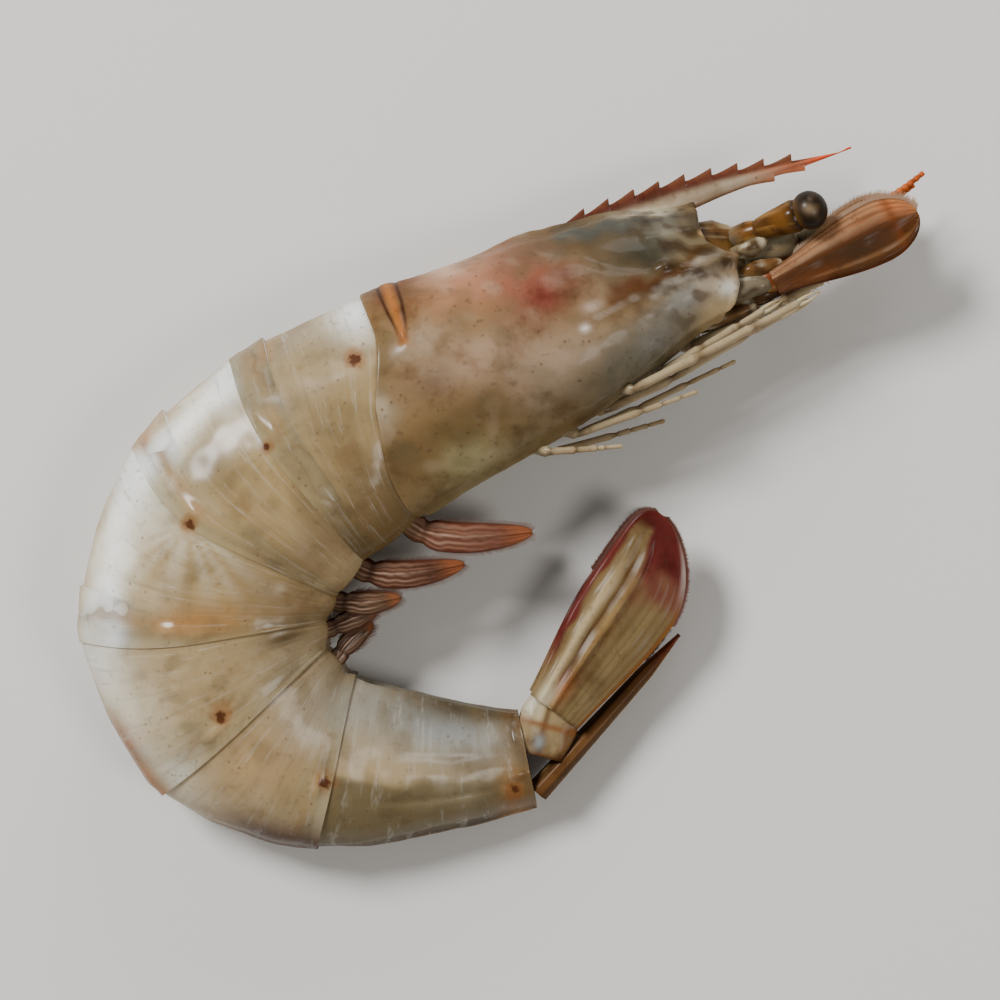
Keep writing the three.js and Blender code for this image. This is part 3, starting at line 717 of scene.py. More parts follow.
# Soft ovals and lines of colour on the head: colour and strength, then the same as for a ridge.
# The patches' outlines wander a little, and the spots' don't.
HEAD_PATCHES = (
    ("#66502f", 1, 6.0, -5.5, 9.5, 2.6, 4),
    ("#94835f", 0.85, 4.5, -8.4, 7.5, 1.7, 6),
    ("#a0966c", 0.8, 2.2, -7.6, 2.4, 1.7),
    ("#5c4a2c", 0.7, 1.6, -3.8, 2.2, 1.3),
    ("#54432a", 0.7, -3.0, -4.6, 1.6, 1.6),
    ("#b0a48c", 0.6, -3.2, 0.0, 1.2, 1.8),
    ("#4a3216", 0.9, 2.5, 0.2, 2.0, 1.5),
    ("#a8957c", 0.7, 2.6, 3.9, 2.0, 1.6),
    ("#5f3719", 0.95, 2.2, 9.4, 3.0, 2.0),
    ("#aa765a", 0.9, 9.0, 7.6, 5.0, 2.8, 4),
    ("#cbaa92", 0.6, 6.9, 9.3, 2.4, 1.0, -4),
    ("#63391a", 0.75, 2.8, 9.8, 1.6, 1.7),
    ("#7a5c42", 0.6, 10.5, 3.4, 2.0, 1.6),
    ("#a58a72", 0.75, 7.0, 0.6, 6.0, 2.2, -4),
    ("#a8907a", 0.7, 13.4, -2.2, 4.4, 2.2, -4),
    ("#94806a", 0.6, 10.6, -4.4, 2.8, 1.6),
    ("#654438", 0.7, 13.6, 8.2, 3.4, 2.4),
    ("#4d3f2b", 0.9, 18.5, 7.6, 4.6, 3.0),
    ("#947a5e", 0.8, 18.6, 2.6, 2.4, 2.4),
    ("#753a2e", 1, 14.1, 3.6, 2.9, 2.1, 6),
    ("#8c4f3e", 0.65, 12.6, 5.4, 3.4, 1.5, -8),
    ("#35342a", 0.95, 24.0, 4.0, 5.2, 3.2, -6),
    ("#3b403c", 0.8, [(17.5, 8.2), (22.5, 7.4), (27.5, 6.2)], 0.8),
    ("#7f7d70", 0.5, 26.4, 5.2, 1.8, 0.9),
    ("#c4baa2", 0.9, 25.8, 7.5, 2.6, 0.6, -14),
    ("#6a6659", 0.9, 20.5, -4.2, 6.6, 2.6, 6),
    ("#7d7b74", 0.9, 26.2, -1.0, 3.8, 1.5, 14),
    # Painted light: the lower front corner, which lies in shade, washed pale.
    ("#b59d75", 0.9, 28.8, -4.6, 3.6, 1.6, 8),
    ("#b8b3a4", 0.6, [(23.0, -0.2), (26.5, 0.8), (30.0, 1.9)], 0.3),
    ("#5a3618", 0.8, [(19.6, 1.2), (22.8, 0.7), (25.4, 1.0), (29.0, 2.3)], 0.5),
    ("#4f2411", 0.7, [(20.2, 1.9), (22.8, 1.2)], 0.6),
    ("#4a3a22", 0.8, 29.2, 2.8, 1.8, 2.2),
    ("#a8937a", 0.6, 28.6, -1.0, 1.6, 1.0),
)
HEAD_SPOTS_AND_GLINTS = (
    ("#60482d", 0.5, 22.0, 0.0, 1.6, 0.9),
    ("#8f8a80", 0.6, 22.0, -3.9, 2.0, 1.2, 8),
    ("#3c3324", 0.9, 29.2, 4.9, 1.4, 1.3),
    ("#4f3d24", 0.55, 6.0, -3.7, 1.7, 1.2),
    # Painted light and painted highlights: a pale wash on the shaded lower front corner, then three
    # small white glints of the wet shell.
    ("#d0b78c", 0.9, 29.2, -3.2, 2.6, 1.2, 8),
    ("#e3ddd0", 0.9, 29.7, -1.8, 0.9, 0.7),
    ("#e3d9cf", 0.8, 16.3, -0.4, 0.45, 0.35),
    ("#cdb9aa", 0.5, 17.6, 1.1, 0.8, 0.45),
)


def strewn(seen, rows):
    """The washes of such rows."""
    return [(colour, marked(seen, form) * strength) for colour, strength, *form in rows]


def head_tone(grid, lean):
    """The head's colours: tan at the rear, pink and a red spot over the organs, olive in front."""
    seen = grid[..., :2] + 0.35 * np.stack([ripple(grid, 61, 4.0), ripple(grid, 62, 4.0)], -1)
    exact = grid[..., :2]
    ahead, above = exact[..., 0], exact[..., 1]
    mottle = ripple(grid, 63, 2.0)
    lines = np.maximum(*(stroke(exact, line, 0.17) for line in REAR_LINES))
    lines *= ramp(above, 3.6, 7.5)
    return washed(
        "#7b6241",
        lean.shape,
        *strewn(seen, HEAD_PATCHES),
        ("#5d5136", ramp(ripple(grid, 64, 3.6), 0.2, 1.0) * ramp(ahead, 21, 12) * 0.35),
        ("#b09d84", ramp(ripple(grid, 65, 2.8), 0.4, 1.3) * ramp(ahead, 23, 12) * 0.2),
        ("#33210d", ramp(mottle, 0.1, 0.7) * ramp(ahead, 21, 27) * 0.6),
        ("#b5a684", ramp(mottle, -0.35, -0.9) * ramp(ahead, 23, 29) * 0.2),
        *strewn(exact, HEAD_SPOTS_AND_GLINTS),
        ("#66604c", ramp(ahead, 13, 18) * ramp(ahead, 28, 24) * ramp(above, -3.5, -6.0) * 0.6),
        ("#c2a071", stroke(exact, [(29.4, 3.7), (32.1, 0.7)], 0.26) * 0.95),
        ("#6a5733", hump(lean, 0.83, 0.04) * 0.5),
        ("#938a66", hump(lean, 0.87, 0.03) * ramp(ahead, 12, 0) * 0.7),
        ("#756b56", ramp(lean, 0.88, 0.93) * 0.8),
        ("#a4642c", stroke(exact, REAR_BAND, 0.45) * 0.85),
        ("#3a1a0a", lines),
    )


def head_shell():
    """The head shell's loops and marks, from inside its front margin to the hollow at its rear."""
    lean = lean_of(head_around)
    margin = np.interp(lean, MARGIN_LEAN, MARGIN_X)
    inner = [head_section(margin - depth, 0.4, head_around) for depth in (4.0, 2.2, 0.9, 0.2)]
    rim = [
        head_section(margin + 0.12 * math.sin(turn), 0.2 + 0.2 * math.cos(turn), head_around)
        for turn in np.linspace(0, math.pi, 5)[:-1]
    ]
    shares = closer_past(*HEAD_LOOPS)
    outer = np.array([head_section(margin * (1 - share), 0.0, head_around) for share in shares])
    ahead = margin * shares[:, None]
    sweep = sweep_at(0, lean)
    lip = [section(LIP * share, head_sizes(0.0), sweep, head_around) for share in lip_steps]
    relief = head_relief(outer, lean[None, :] + 0 * ahead, ahead)
    relief *= ramp(outer[..., 0], -sweep - 0.2, 1.2 - sweep)
    outer = raised(outer, relief)
    back_rim = [
        section(
            LIP + 0.2 * math.sin(turn),
            head_sizes(0.0, HEAD_RIM * (1 - math.cos(turn)) / 2),
            sweep,
            head_around,
        )
        for turn in rim_turns
    ]
    inside = head_sizes(0.0, HEAD_RIM)
    hollow = [section(LIP - depth, inside, sweep, head_around) for depth in (1.0, 2.8)]
    grid = np.concatenate([inner, rim, outer, lip, back_rim, hollow])
    leans = np.tile(lean, (len(grid), 1))
    return grid, {"tone": head_tone(grid, leans)}


ROSTRUM_X = np.array([13.0, 17, 21, 25, 29, 33, 37, 41, TIP_X])
ROSTRUM_TOP = np.array([9.1, 9.6, 9.8, 9.7, 9.35, 8.7, 7.85, 6.95, TIP_HIGH])
ROSTRUM_BOTTOM = np.array([7.4, 7.2, 6.8, 6.4, 6.2, 6.3, 6.2, 6.0, TIP_LOW])
ROSTRUM_THICKNESS = 1.2
BACK_TEETH = np.linspace(20.3, 39.6, 9)
UNDER_TEETH = np.linspace(37.6, 40.6, 2)
BACK_TOOTH, UNDER_TOOTH = 0.6, 0.4
ROSTRUM_LOOPS, ROSTRUM_AROUND = 300, 36


def tooth_rise(x, tips, height):
    """Saw teeth that rise slowly to a forward point, and drop at once ahead of it."""
    pitch = tips[1] - tips[0]
    short = (tips[:, None] - x) / (0.8 * pitch)
    rise = (1 - np.clip(np.abs(short), 0, 1)) ** 1.35
    return height * np.where(short > -0.06, rise, 0).max(0)


def rostrum():
    """The rostrum's loops and marks, from its root on the shell's back to its tip."""
    x = np.linspace(ROSTRUM_X[0], ROSTRUM_X[-1], ROSTRUM_LOOPS)
    top = eased(ROSTRUM_X, ROSTRUM_TOP, x) - BACK_TOOTH / 2 * ramp(x, TIP_X, 44.0)
    bottom = eased(ROSTRUM_X, ROSTRUM_BOTTOM, x)
    upper = tooth_rise(x, BACK_TEETH, BACK_TOOTH)
    under = tooth_rise(x, UNDER_TEETH, UNDER_TOOTH)
    thick = ROSTRUM_THICKNESS / 2 * (1 - 0.75 * (x - x[0]) / (x[-1] - x[0]))
    around = full_turn(ROSTRUM_AROUND)
    up, out = np.cos(around), np.sin(around)
    height = bottom + (top - bottom) * (0.5 + 0.5 * up[:, None])
    rib = 0.45 + 0.55 * hump(up[:, None], -0.1, 0.42) + 0.25 * ramp(x, 22, 14)
    side = np.sign(out)[:, None] * np.abs(out[:, None]) ** 0.7 * thick * rib
    reach = ramp(up[:, None], 0.35, 1.0)
    drop = ramp(-up[:, None], 0.35, 1.0)
    forward = 0.35 * reach * upper / BACK_TOOTH
    grid = np.stack(
        [
            x + forward + 0 * height,
            height + reach * upper - drop * under,
            HEAD_RISE + side * (1 - 0.6 * reach * (upper > 0.1)),
        ],
        axis=-1,
    ).transpose(1, 0, 2)
    part = (0.5 + 0.5 * up)[None, :] + 0 * x[:, None]
    ahead = x[:, None] + 0 * part
    tone = washed(
        "#83705a",
        part.shape,
        ("#b3a48c", hump(part, 0.36, 0.2) * 0.75),
        ("#d9cfb2", hump(part + 0.05 * (ahead - 24), 0.5, 0.1) * hump(ahead, 25, 4) * 0.85),
        ("#5f5a45", ramp(ahead, 26, 16) * 0.6),
        ("#4a1f17", ramp(part, 0.58, 0.8) * 0.92),
        ("#4b2c1b", ramp(part, 0.18, 0.04) * 0.8),
        ("#9a4a2c", ramp(ahead, 34, 40) * ramp(part, 0.85, 0.6) * 0.8),
        ("#cf4f2c", ramp(ahead, 40, 43)),
    )
    return grid, {"tone": tone}


head_material = shell_finish("head_shell_skin", 0.25, 0.75, 0.6, 0.14, 0.35)[0].material
piece("head_case", [head_shell()], head_material, "head_shell")
piece("rostrum", [rostrum()], head_material)

# ---- Face and eyes ---------------------------------------------------------------------------
# The soft brown front of the body fills the head shell's open end, with the mouthparts below.
# Each eye is a dark shiny ball on a short jointed stalk that stands out sideways.

SIDES = (("right", 1), ("left", -1))
EYE_DIAMETER, EYE_FLATNESS = 3.5, 0.92
EYE_AT = np.array([39.0, 1.9, 4.6])
STALK_ROOT = np.array([32.0, 2.3, 1.5])

ring_turn = full_turn(40)


def in_head(point, sign):
    """A point given by x, y and the distance sideways from the middle, on one side."""
    return np.array([point[0], point[1], HEAD_RISE + sign * point[2]], float)


def spun(start, end, profile, size=1.0, flat=1.0):
    """Loops round the line from start to end: the profile gives how far along each loop is, as a
    share, and its radius as a part of size. The loops are flattened sideways where flat is below
    one. Also gives each point's share."""
    start, end = np.asarray(start, float), np.asarray(end, float)
    heading = (end - start) / np.linalg.norm(end - start)
    side = np.array([0.0, 0, 1]) - heading * heading[2]
    side /= np.linalg.norm(side)
    up = np.cross(side, heading)
    rim = np.cos(ring_turn)[:, None] * up + flat * np.sin(ring_turn)[:, None] * side
    loops = [start + (end - start) * share + size * radius * rim for share, radius in profile]
    return np.array(loops), np.array([share for share, _ in profile])[:, None] + 0 * ring_turn


def rounded(short, loops, power=1.0):
    """The profile of a ball that stops a little short of its poles."""
    turns = np.linspace(short, math.pi - short, loops)
    return [(0.5 - 0.5 * math.cos(turn), math.sin(turn) ** power) for turn in turns]


def lump(centre, reach, radius):
    """A rounded lump from end to end of its reach, a vector from its centre."""
    centre, reach = np.asarray(centre, float), np.asarray(reach, float)
    return spun(centre - reach, centre + reach, rounded(0.05, 14, 0.8), radius)[0]


# The loops of the body's front: where they lie, and how far inside the head shell's outline.
FACE_X = (25.5, 28.0, 29.6, 31.0, 32.2, 33.0, 33.4)
FACE_INSET = (1.0, 1.0, 1.15, 1.4, 1.8, 2.5, 3.0)


def face():
    """The front of the body inside the head shell, and the mouthparts under it."""
    flat = np.ones(head_around.shape)
    loops = [head_section(flat * x, inset, head_around) for x, inset in zip(FACE_X, FACE_INSET)]
    grid = np.array(loops)
    grid = raised(grid, 0.3 * ripple(grid, 31, 2.6))
    seen = grid[..., :2]
    tone = washed(
        "#4f3a20",
        grid.shape[:2],
        ("#6e4c24", patch(seen, 31.5, 2.6, 2.6, 1.6) * 0.8),
        ("#6b6453", patch(seen, 30.5, -1.9, 1.8, 1.4) * 0.8),
        ("#33230f", patch(seen, 33.0, -0.4, 1.6, 0.8) * 0.7),
        ("#2c1b0b", ramp(ripple(grid, 34, 1.5), 0.1, 0.6) * 0.7),
        ("#b8a680", ramp(ripple(grid, 38, 1.3), 0.4, 0.9) * 0.6),
    )
    shells = [(grid, {"tone": tone})]
    for _, sign in SIDES:
        for point, reach, size, colour in (
            ((31.2, -2.3, 2.2), (2.6, -0.3, 0.1), 1.05, "#6d6350"),
            ((31.4, -3.4, 1.2), (3.0, -0.2, 0.0), 0.7, "#5a3f24"),
            ((33.2, -1.2, 2.3), (2.2, -0.3, 0.3), 0.75, "#6a4a28"),
            ((32.8, 0.9, 2.3), (1.9, 0.1, 0.5), 0.85, "#6f6148"),
            ((28.5, -4.0, 1.6), (3.4, -0.1, 0.0), 0.7, "#5e4529"),
        ):
            centre = in_head(point, sign)
            grid = lump(centre, (reach[0], reach[1], sign * reach[2]), size)
            grid = raised(grid, 0.12 * ripple(grid, 33, 1.7))
            blots = ("#3a2412", ramp(ripple(grid, 39, 1.4), 0.0, 0.6) * 0.75)
            gleam = ("#c9bd9f", ramp(ripple(grid, 40, 1.2), 0.4, 0.9) * 0.6)
            shells.append((grid, {"tone": washed(colour, grid.shape[:2], blots, gleam)}))
    return shells


def eye_stalk(root, eye):
    """The stalk's loops and marks: it thickens by steps towards the ball."""
    profile = [
        (0.0, 0.8), (0.05, 1.0), (0.2, 1.05), (0.3, 0.98), (0.33, 0.9), (0.36, 1.0), (0.5, 1.2),
        (0.62, 1.3), (0.72, 1.42), (0.8, 1.5), (0.86, 1.35), (0.9, 1.1),
    ]
    grid, share = spun(root, eye, profile)
    grid = raised(grid, 0.05 * ripple(grid, 35, 1.5))
    blotch = ramp(ripple(grid, 36, 1.8), 0.1, 0.6)
    tone = washed(
        "#694419",
        share.shape,
        ("#41270f", blotch * 0.85),
        ("#96713b", ramp(ripple(grid, 37, 1.3), 0.2, 0.7) * 0.6),
        ("#8d8a76", ramp(share, 0.1, 0.0) * 0.5),
        ("#3a2411", hump(share, 0.34, 0.03) * 0.8),
        ("#24160c", ramp(share, 0.74, 0.86)),
    )
    return grid, {"tone": tone}


def eye_ball(root, eye):
    """The ball's loops and marks, a little flattened along its stalk."""
    radius = EYE_DIAMETER / 2
    reach = (eye - root) / np.linalg.norm(eye - root) * radius * EYE_FLATNESS
    grid, share = spun(eye - reach, eye + reach, rounded(0.04, 26), radius)
    tone = washed(
        "#1d1207",
        share.shape,
        ("#6b4a22", ramp(share, 0.42, 0.1)),
        ("#3f2a14", ramp(ripple(grid, 48, 1.2), 0.0, 0.7) * 0.6),
        # Painted highlight: a soft grey glow near the ball's middle.
        ("#8a7458", patch(grid, eye[0] - 0.2, eye[1], 0.6, 0.45, -40) * 0.7),
    )
    return grid, {"tone": tone}


face_material = shell_finish("face_flesh", 0.3, 1.0, 0.6, 0.16)[0].material
piece("face", face(), face_material)

eye_glass = Finish(
    "eye_glass", Roughness=0.5, Specular_IOR_Level=0.1, Coat_Weight=0.2, Coat_Roughness=0.25
)
eye_glass.feed(Base_Color=eye_glass.mark("tone", "Color"))
for side, sign in SIDES:
    root, eye = in_head(STALK_ROOT, sign), in_head(EYE_AT, sign)
    piece(f"eye_ball_{side}", [eye_ball(root, eye)], eye_glass.material, f"eye_{side}")
    piece(f"eye_stalk_{side}", [eye_stalk(root, eye)], face_material)

# ---- Feelers and their scales ----------------------------------------------------------------
# Two pairs of feelers: the short ones on three thick joints, and the broken stubs of the long
# ones. Outside each stub lies a stiff flat scale with a strong outer edge and a fringe of hairs.

SCALE_LENGTH, SCALE_WIDTH, SCALE_ROOT, SCALE_THICKNESS = 14.4, 5.6, 1.8, 0.6
SCALE_DEGREES = {1: 4.0, -1: 8.0}
SCALE_HAIRS = dict(colour="#8a6a4c", start=8, count=240, forward=0.8, reach=0.9, both=False)
HAIR_THICKNESS = 0.045
ROD_AROUND = 12
WHIP_RINGS, STUB_RINGS = 60, 75


def blade(
    length, width, root, thickness, widest, point=2.0, skew=0.0, cup=0.0, bow=0.0, rows=70, count=72
):
    """A flat blade from its root at the origin to its tip along x, as loops, with how far along
    and how far across (-1 to 1) each point lies, and which face it is on."""
    around = -full_turn(count)
    share = 0.998 * np.sin(math.pi / 2 * np.linspace(0, 1, rows))[:, None]
    grow = ramp(share, -0.2, widest)
    close = (1 - np.clip((share - widest) / (1 - widest), 0, 1) ** point) ** (1 / point)
    half_width = (root + (width - root) * grow) / 2 * close
    across = np.cos(around)[None, :] + 0 * share
    face = np.sign(np.sin(around)) * np.abs(np.sin(around)) ** 0.6
    thick = thickness / 2 * (1 - 0.5 * share) * np.minimum(1, half_width / (width * 0.18))
    y = half_width * across
    sag = cup * (2 * y / width) ** 2 + bow * share**2
    y = y + skew * np.clip((share - 0.6) / 0.4, 0, 1) ** 2
    grid = np.stack([length * share + 0 * across, y, thick * face[None, :] - sag], axis=-1)
    return grid, share + 0 * across, across, np.sin(around)[None, :] + 0 * share


def ribbed(grid, across, face, ribs, fade=1.0):
    """A blade with ribs: each is how far across it lies, its width and its height in mm."""
    for centre, width, height in ribs:
        rib = height * hump(across, centre, width) * fade
        grid[..., 2] += rib * np.sign(face) * np.abs(face) ** 0.5
    return grid


def laid(grid, place, degrees):
    """A blade turned in its own plane and moved to its place."""
    return turned(grid, math.radians(degrees)) + place


class Growth(Nodes):
    """A Geometry Nodes tree with named inputs."""

    def __init__(self, name, **inputs):
        self.tree = bpy.data.node_groups.new(name, "GeometryNodeTree")
        inputs = {"Geometry": "NodeSocketGeometry", **inputs}
        for label, kind in inputs.items():
            self.tree.interface.new_socket(label, in_out="INPUT", socket_type=kind)
        self.tree.interface.new_socket(
            "Geometry", in_out="OUTPUT", socket_type="NodeSocketGeometry"
        )
        given = self.tree.nodes.new("NodeGroupInput").outputs
        self.given = {socket.name: Signal(self, socket) for socket in given}

    def named(self, name, kind="FLOAT"):
        return self.node("GeometryNodeInputNamedAttribute", {"data_type": kind}, {"Name": name})

    def finish(self, geometry):
        realized = self.node("GeometryNodeRealizeInstances", {}, {0: geometry})
        sockets = {"Geometry": realized, "Material": self.given["Material"]}
        painted = self.node("GeometryNodeSetMaterial", {}, sockets)
        self.put(self.tree.nodes.new("NodeGroupOutput").inputs[0], painted)

    def grown(self, name, mesh, slot, node=None, **values):
        """The plain mesh that the tree makes on another mesh, as a fitted piece."""
        thing = added(name, mesh)
        modifier = thing.modifiers.new("growth", "NODES")
        modifier.node_group = self.tree
        for item in self.tree.interface.items_tree:
            if item.in_out == "INPUT" and item.name in values:
                modifier[item.identifier] = values[item.name]
        depsgraph = bpy.context.evaluated_depsgraph_get()
        result = bpy.data.meshes.new_from_object(
            thing.evaluated_get(depsgraph), preserve_all_data_layers=True, depsgraph=depsgraph
        )
        thing.modifiers.clear()
        thing.data = result
        if inside_out(result):
            result.flip_normals()
        return fitted(thing, node)


def inside_out(mesh):
    mesh.calc_loop_triangles()
    corners = np.empty(len(mesh.loop_triangles) * 3, int)
    mesh.loop_triangles.foreach_get("vertices", corners)
    points = np.empty(len(mesh.vertices) * 3)
    mesh.vertices.foreach_get("co", points)
    a, b, c = points.reshape(-1, 3)[corners.reshape(-1, 3)].transpose(1, 0, 2)
    return (a * np.cross(b, c)).sum() < 0


rods = Growth("rods", Around="NodeSocketInt", Material="NodeSocketMaterial")
path = rods.node("GeometryNodeMeshToCurve", {}, {"Mesh": rods.given["Geometry"]})
circle = {"Resolution": rods.given["Around"], "Radius": 1.0}
round_rod = {
    "Curve": path,
    "Profile Curve": rods.node("GeometryNodeCurvePrimitiveCircle", {}, circle),
    "Scale": rods.named("thick"),
    "Fill Caps": True,
}
rod = rods.node("GeometryNodeCurveToMesh", {}, round_rod)
rods.finish(rods.node("GeometryNodeSetShadeSmooth", {}, {"Geometry": rod}))

hairs = Growth(
    "hairs",
    Thickness="NodeSocketFloat",
    Least="NodeSocketFloat",
    Seed="NodeSocketInt",
    Material="NodeSocketMaterial",
)
uneven = {"Min": hairs.given["Least"], "Max": 1.0, "Seed": hairs.given["Seed"]}
reach = hairs.named("reach") * hairs.node("FunctionNodeRandomValue", {}, uneven, 1)
wide = hairs.given["Thickness"]
cone = {"Vertices": 4, "Radius Top": 0.15, "Radius Bottom": 1.0, "Depth": 1.0}
aim = {"Vector": hairs.named("aim", "FLOAT_VECTOR")}
hair = {
    "Points": hairs.given["Geometry"],
    "Instance": hairs.node("GeometryNodeMeshCone", {}, cone),
    "Rotation": hairs.node("FunctionNodeAlignRotationToVector", {"axis": "Z"}, aim),
    "Scale": hairs.node("ShaderNodeCombineXYZ", {}, {"X": wide, "Y": wide, "Z": reach}),
}
hairs.finish(hairs.node("GeometryNodeInstanceOnPoints", {}, hair))


def rod_piece(name, paths, finish, slot, node=None):
    """Round rods along paths, as one piece. Each path is its points, radii and colours."""
    points, edges, thick, tones = [], [], [], []
    for path, radii, tone in paths:
        start = len(points)
        points += (placed(path) * MM).tolist()
        edges += [(i, i + 1) for i in range(start, len(points) - 1)]
        thick += (np.asarray(radii) * MM).tolist()
        tones.append(np.broadcast_to(tone, (len(path), 3)))
    mesh = bpy.data.meshes.new(name)
    mesh.from_pydata(points, edges, [])
    add_mark(mesh, "thick", np.array(thick))
    add_mark(mesh, "tone", np.concatenate(tones))
    return rods.grown(name, mesh, slot, node, Around=ROD_AROUND, Material=finish)


def hair_piece(name, roots, aims, reach, colour, slot, seed=1):
    """Fine hairs from roots towards aims, reach mm long, as one piece."""
    mesh = bpy.data.meshes.new(name)
    mesh.from_pydata((placed(roots) * MM).tolist(), [], [])
    aim = mesh.attributes.new("aim", "FLOAT_VECTOR", "POINT")
    aim.data.foreach_set("vector", turned(aims).ravel())
    add_mark(mesh, "reach", np.broadcast_to(reach, len(roots)) * MM)
    add_mark(mesh, "tone", np.broadcast_to(paint(colour)[:3], (len(roots), 3)))
    sizes = {"Thickness": HAIR_THICKNESS * MM, "Least": 0.6, "Seed": seed}
    return hairs.grown(name, mesh, slot, Material=hair_material, **sizes)


def edge_roots(edge, middle, count, forward):
    """Roots spaced evenly along a blade's edge, and aims outwards and towards its tip."""
    steps = np.concatenate([[0], np.cumsum(np.linalg.norm(np.diff(edge, axis=0), axis=1))])
    at = np.linspace(0, steps[-1], count)

    def spread(values):
        return np.stack([np.interp(at, steps, column) for column in values.T], axis=-1)

    roots, inner = spread(edge), spread(middle)
    out = roots - inner
    out /= np.maximum(np.linalg.norm(out, axis=-1, keepdims=True), 1e-6)
    along = spread(np.gradient(middle, axis=0))
    along /= np.maximum(np.linalg.norm(along, axis=-1, keepdims=True), 1e-6)
    aims = out + along * forward
    return roots - out * 0.1, aims / np.linalg.norm(aims, axis=-1, keepdims=True)


def fringe(name, slot, grid, colour, start, count, forward, reach, seed=1, both=True):
    """A fringe of hairs along both of a blade's edges, or along one, from one of its loops on."""
    edges = grid[start:, 0], grid[start:, grid.shape[1] // 2]
    middle = (edges[0] + edges[1]) / 2
    found = [edge_roots(edge, middle, count, forward) for edge in edges[: 1 + both]]
    roots, aims = (np.concatenate(parts) for parts in zip(*found))
    hair_piece(name, roots, aims, reach, colour, slot, seed)


def jointed(points, thick, thin, colours, members=8, bulge=0.22):
    """A path through joints: straight members that swell towards their far ends."""
    points = np.array(points)
    lengths = np.linalg.norm(np.diff(points, axis=0), axis=1)
    total, run = lengths.sum(), 0.0
    path, radii, tones = [], [], []
    for start, end, length in zip(points, points[1:], lengths):
        for share in np.linspace(0, 1, members, endpoint=end is points[-1]):
            swell = 1 + bulge * hump(share, 0.86, 0.16) - 0.3 * hump(share, 0.0, 0.07)
            size = thick + (thin - thick) * (run + share * length) / total
            path.append(start + (end - start) * share)
            radii.append(size / 2 * swell)
            tones.append(hump(share, 0.0, 0.12) * 0.75)
        run += length
    path.append(points[-1])
    radii.append(thin / 2 * 0.5)
    tones.append(0.0)
    tone = washed(colours[0], (len(path),), (colours[1], np.array(tones)))
    return np.array(path), np.array(radii), tone


def antennule(sign):
    """The three thick joints of the short feeler."""
    joints = [(32.0, 0.4, 1.0), (37.5, -0.1, 1.1), (41.5, -0.1, 1.3), (44.6, 0.1, 1.4)]
    member = (0, 0.6), (0.04, 0.8), (0.3, 0.92), (0.7, 1.0), (0.9, 1.08), (0.97, 0.95), (1.0, 0.6)
    shells = []
    for start, end, size in zip(joints, joints[1:], (1.25, 0.95, 0.8)):
        grid, share = spun(in_head(start, sign), in_head(end, sign), member, size, flat=0.9)
        grid = raised(grid, 0.04 * ripple(grid, 41, 1.5))
        tone = washed(
            "#7d7259",
            share.shape,
            ("#9a4f26", ramp(grid[..., 0], 38.5, 42) * 0.9),
            ("#4a2c14", hump(share, 0.97, 0.06) * 0.9),
            # Painted sheen: a pale band along the joints' upper side.
            ("#aaa28c", hump(grid[..., 1], 0.6, 0.35) * 0.4),
            ("#5a4020", ramp(ripple(grid, 45, 2.0), 0.0, 0.7) * 0.5),
        )
        shells.append((grid, {"tone": tone}))
    return shells


def whips(sign):
    """The two short ringed whips at the end of the antennule."""
    share = np.linspace(0, 1, 60)
    rings = np.sin(share * WHIP_RINGS)
    paths = []
    for side, rise, far in ((0.0, 0.0, 1.0), (-0.35, -0.45, 0.8)):
        x = 44.4 + (5.8 * far) * share
        y = 0.1 + rise * share + 1.2 * share**1.6 * far
        z = HEAD_RISE + sign * (1.4 + side + 0.5 * share)
        radii = (0.42 - 0.2 * share) * (1 + 0.12 * rings)
        tone = washed("#b55a28", share.shape, ("#7a3a1a", (rings < -0.4) * 0.5))
        paths.append((np.stack([x, y, z], axis=-1), radii, tone))
    return paths


def antenna(sign):
    """The stout brown base of the long feeler, in two joints."""
    joints = [(31.8, -2.2, 1.6), (36.6, -2.7, 1.7), (39.4, -2.9, 1.7)]
    member = (0, 0.6), (0.05, 0.85), (0.4, 1.0), (0.8, 1.1), (0.95, 0.95), (1.0, 0.5)
    shells = []
    for start, end, size in zip(joints, joints[1:], (1.2, 0.95)):
        grid, share = spun(in_head(start, sign), in_head(end, sign), member, size)
        grid = raised(grid, 0.05 * ripple(grid, 43, 1.6))
        stripe = np.sin(3 * ring_turn + 0.6 * ripple(grid, 44, 3.0))
        tone = washed("#7b3f20", share.shape, ("#b0834f", ramp(stripe, 0.2, 0.8) * 0.8))
        shells.append((grid, {"tone": tone}))
    return shells


def antenna_stub(sign):
    """The ringed stub of the long feeler, broken off."""
    share = np.linspace(0, 1, 70)
    rings = np.sin(share * STUB_RINGS)
    root, tip = in_head((39.0, -2.9, 1.7), sign), in_head((43.6, -2.7, 1.7), sign)
    path = root + (tip - root) * share[:, None]
    radii = (0.62 - 0.12 * share) * (1 + 0.09 * rings)
    return [(path, radii, washed("#8a4730", share.shape, ("#c07f55", (rings > 0.3) * 0.5)))]


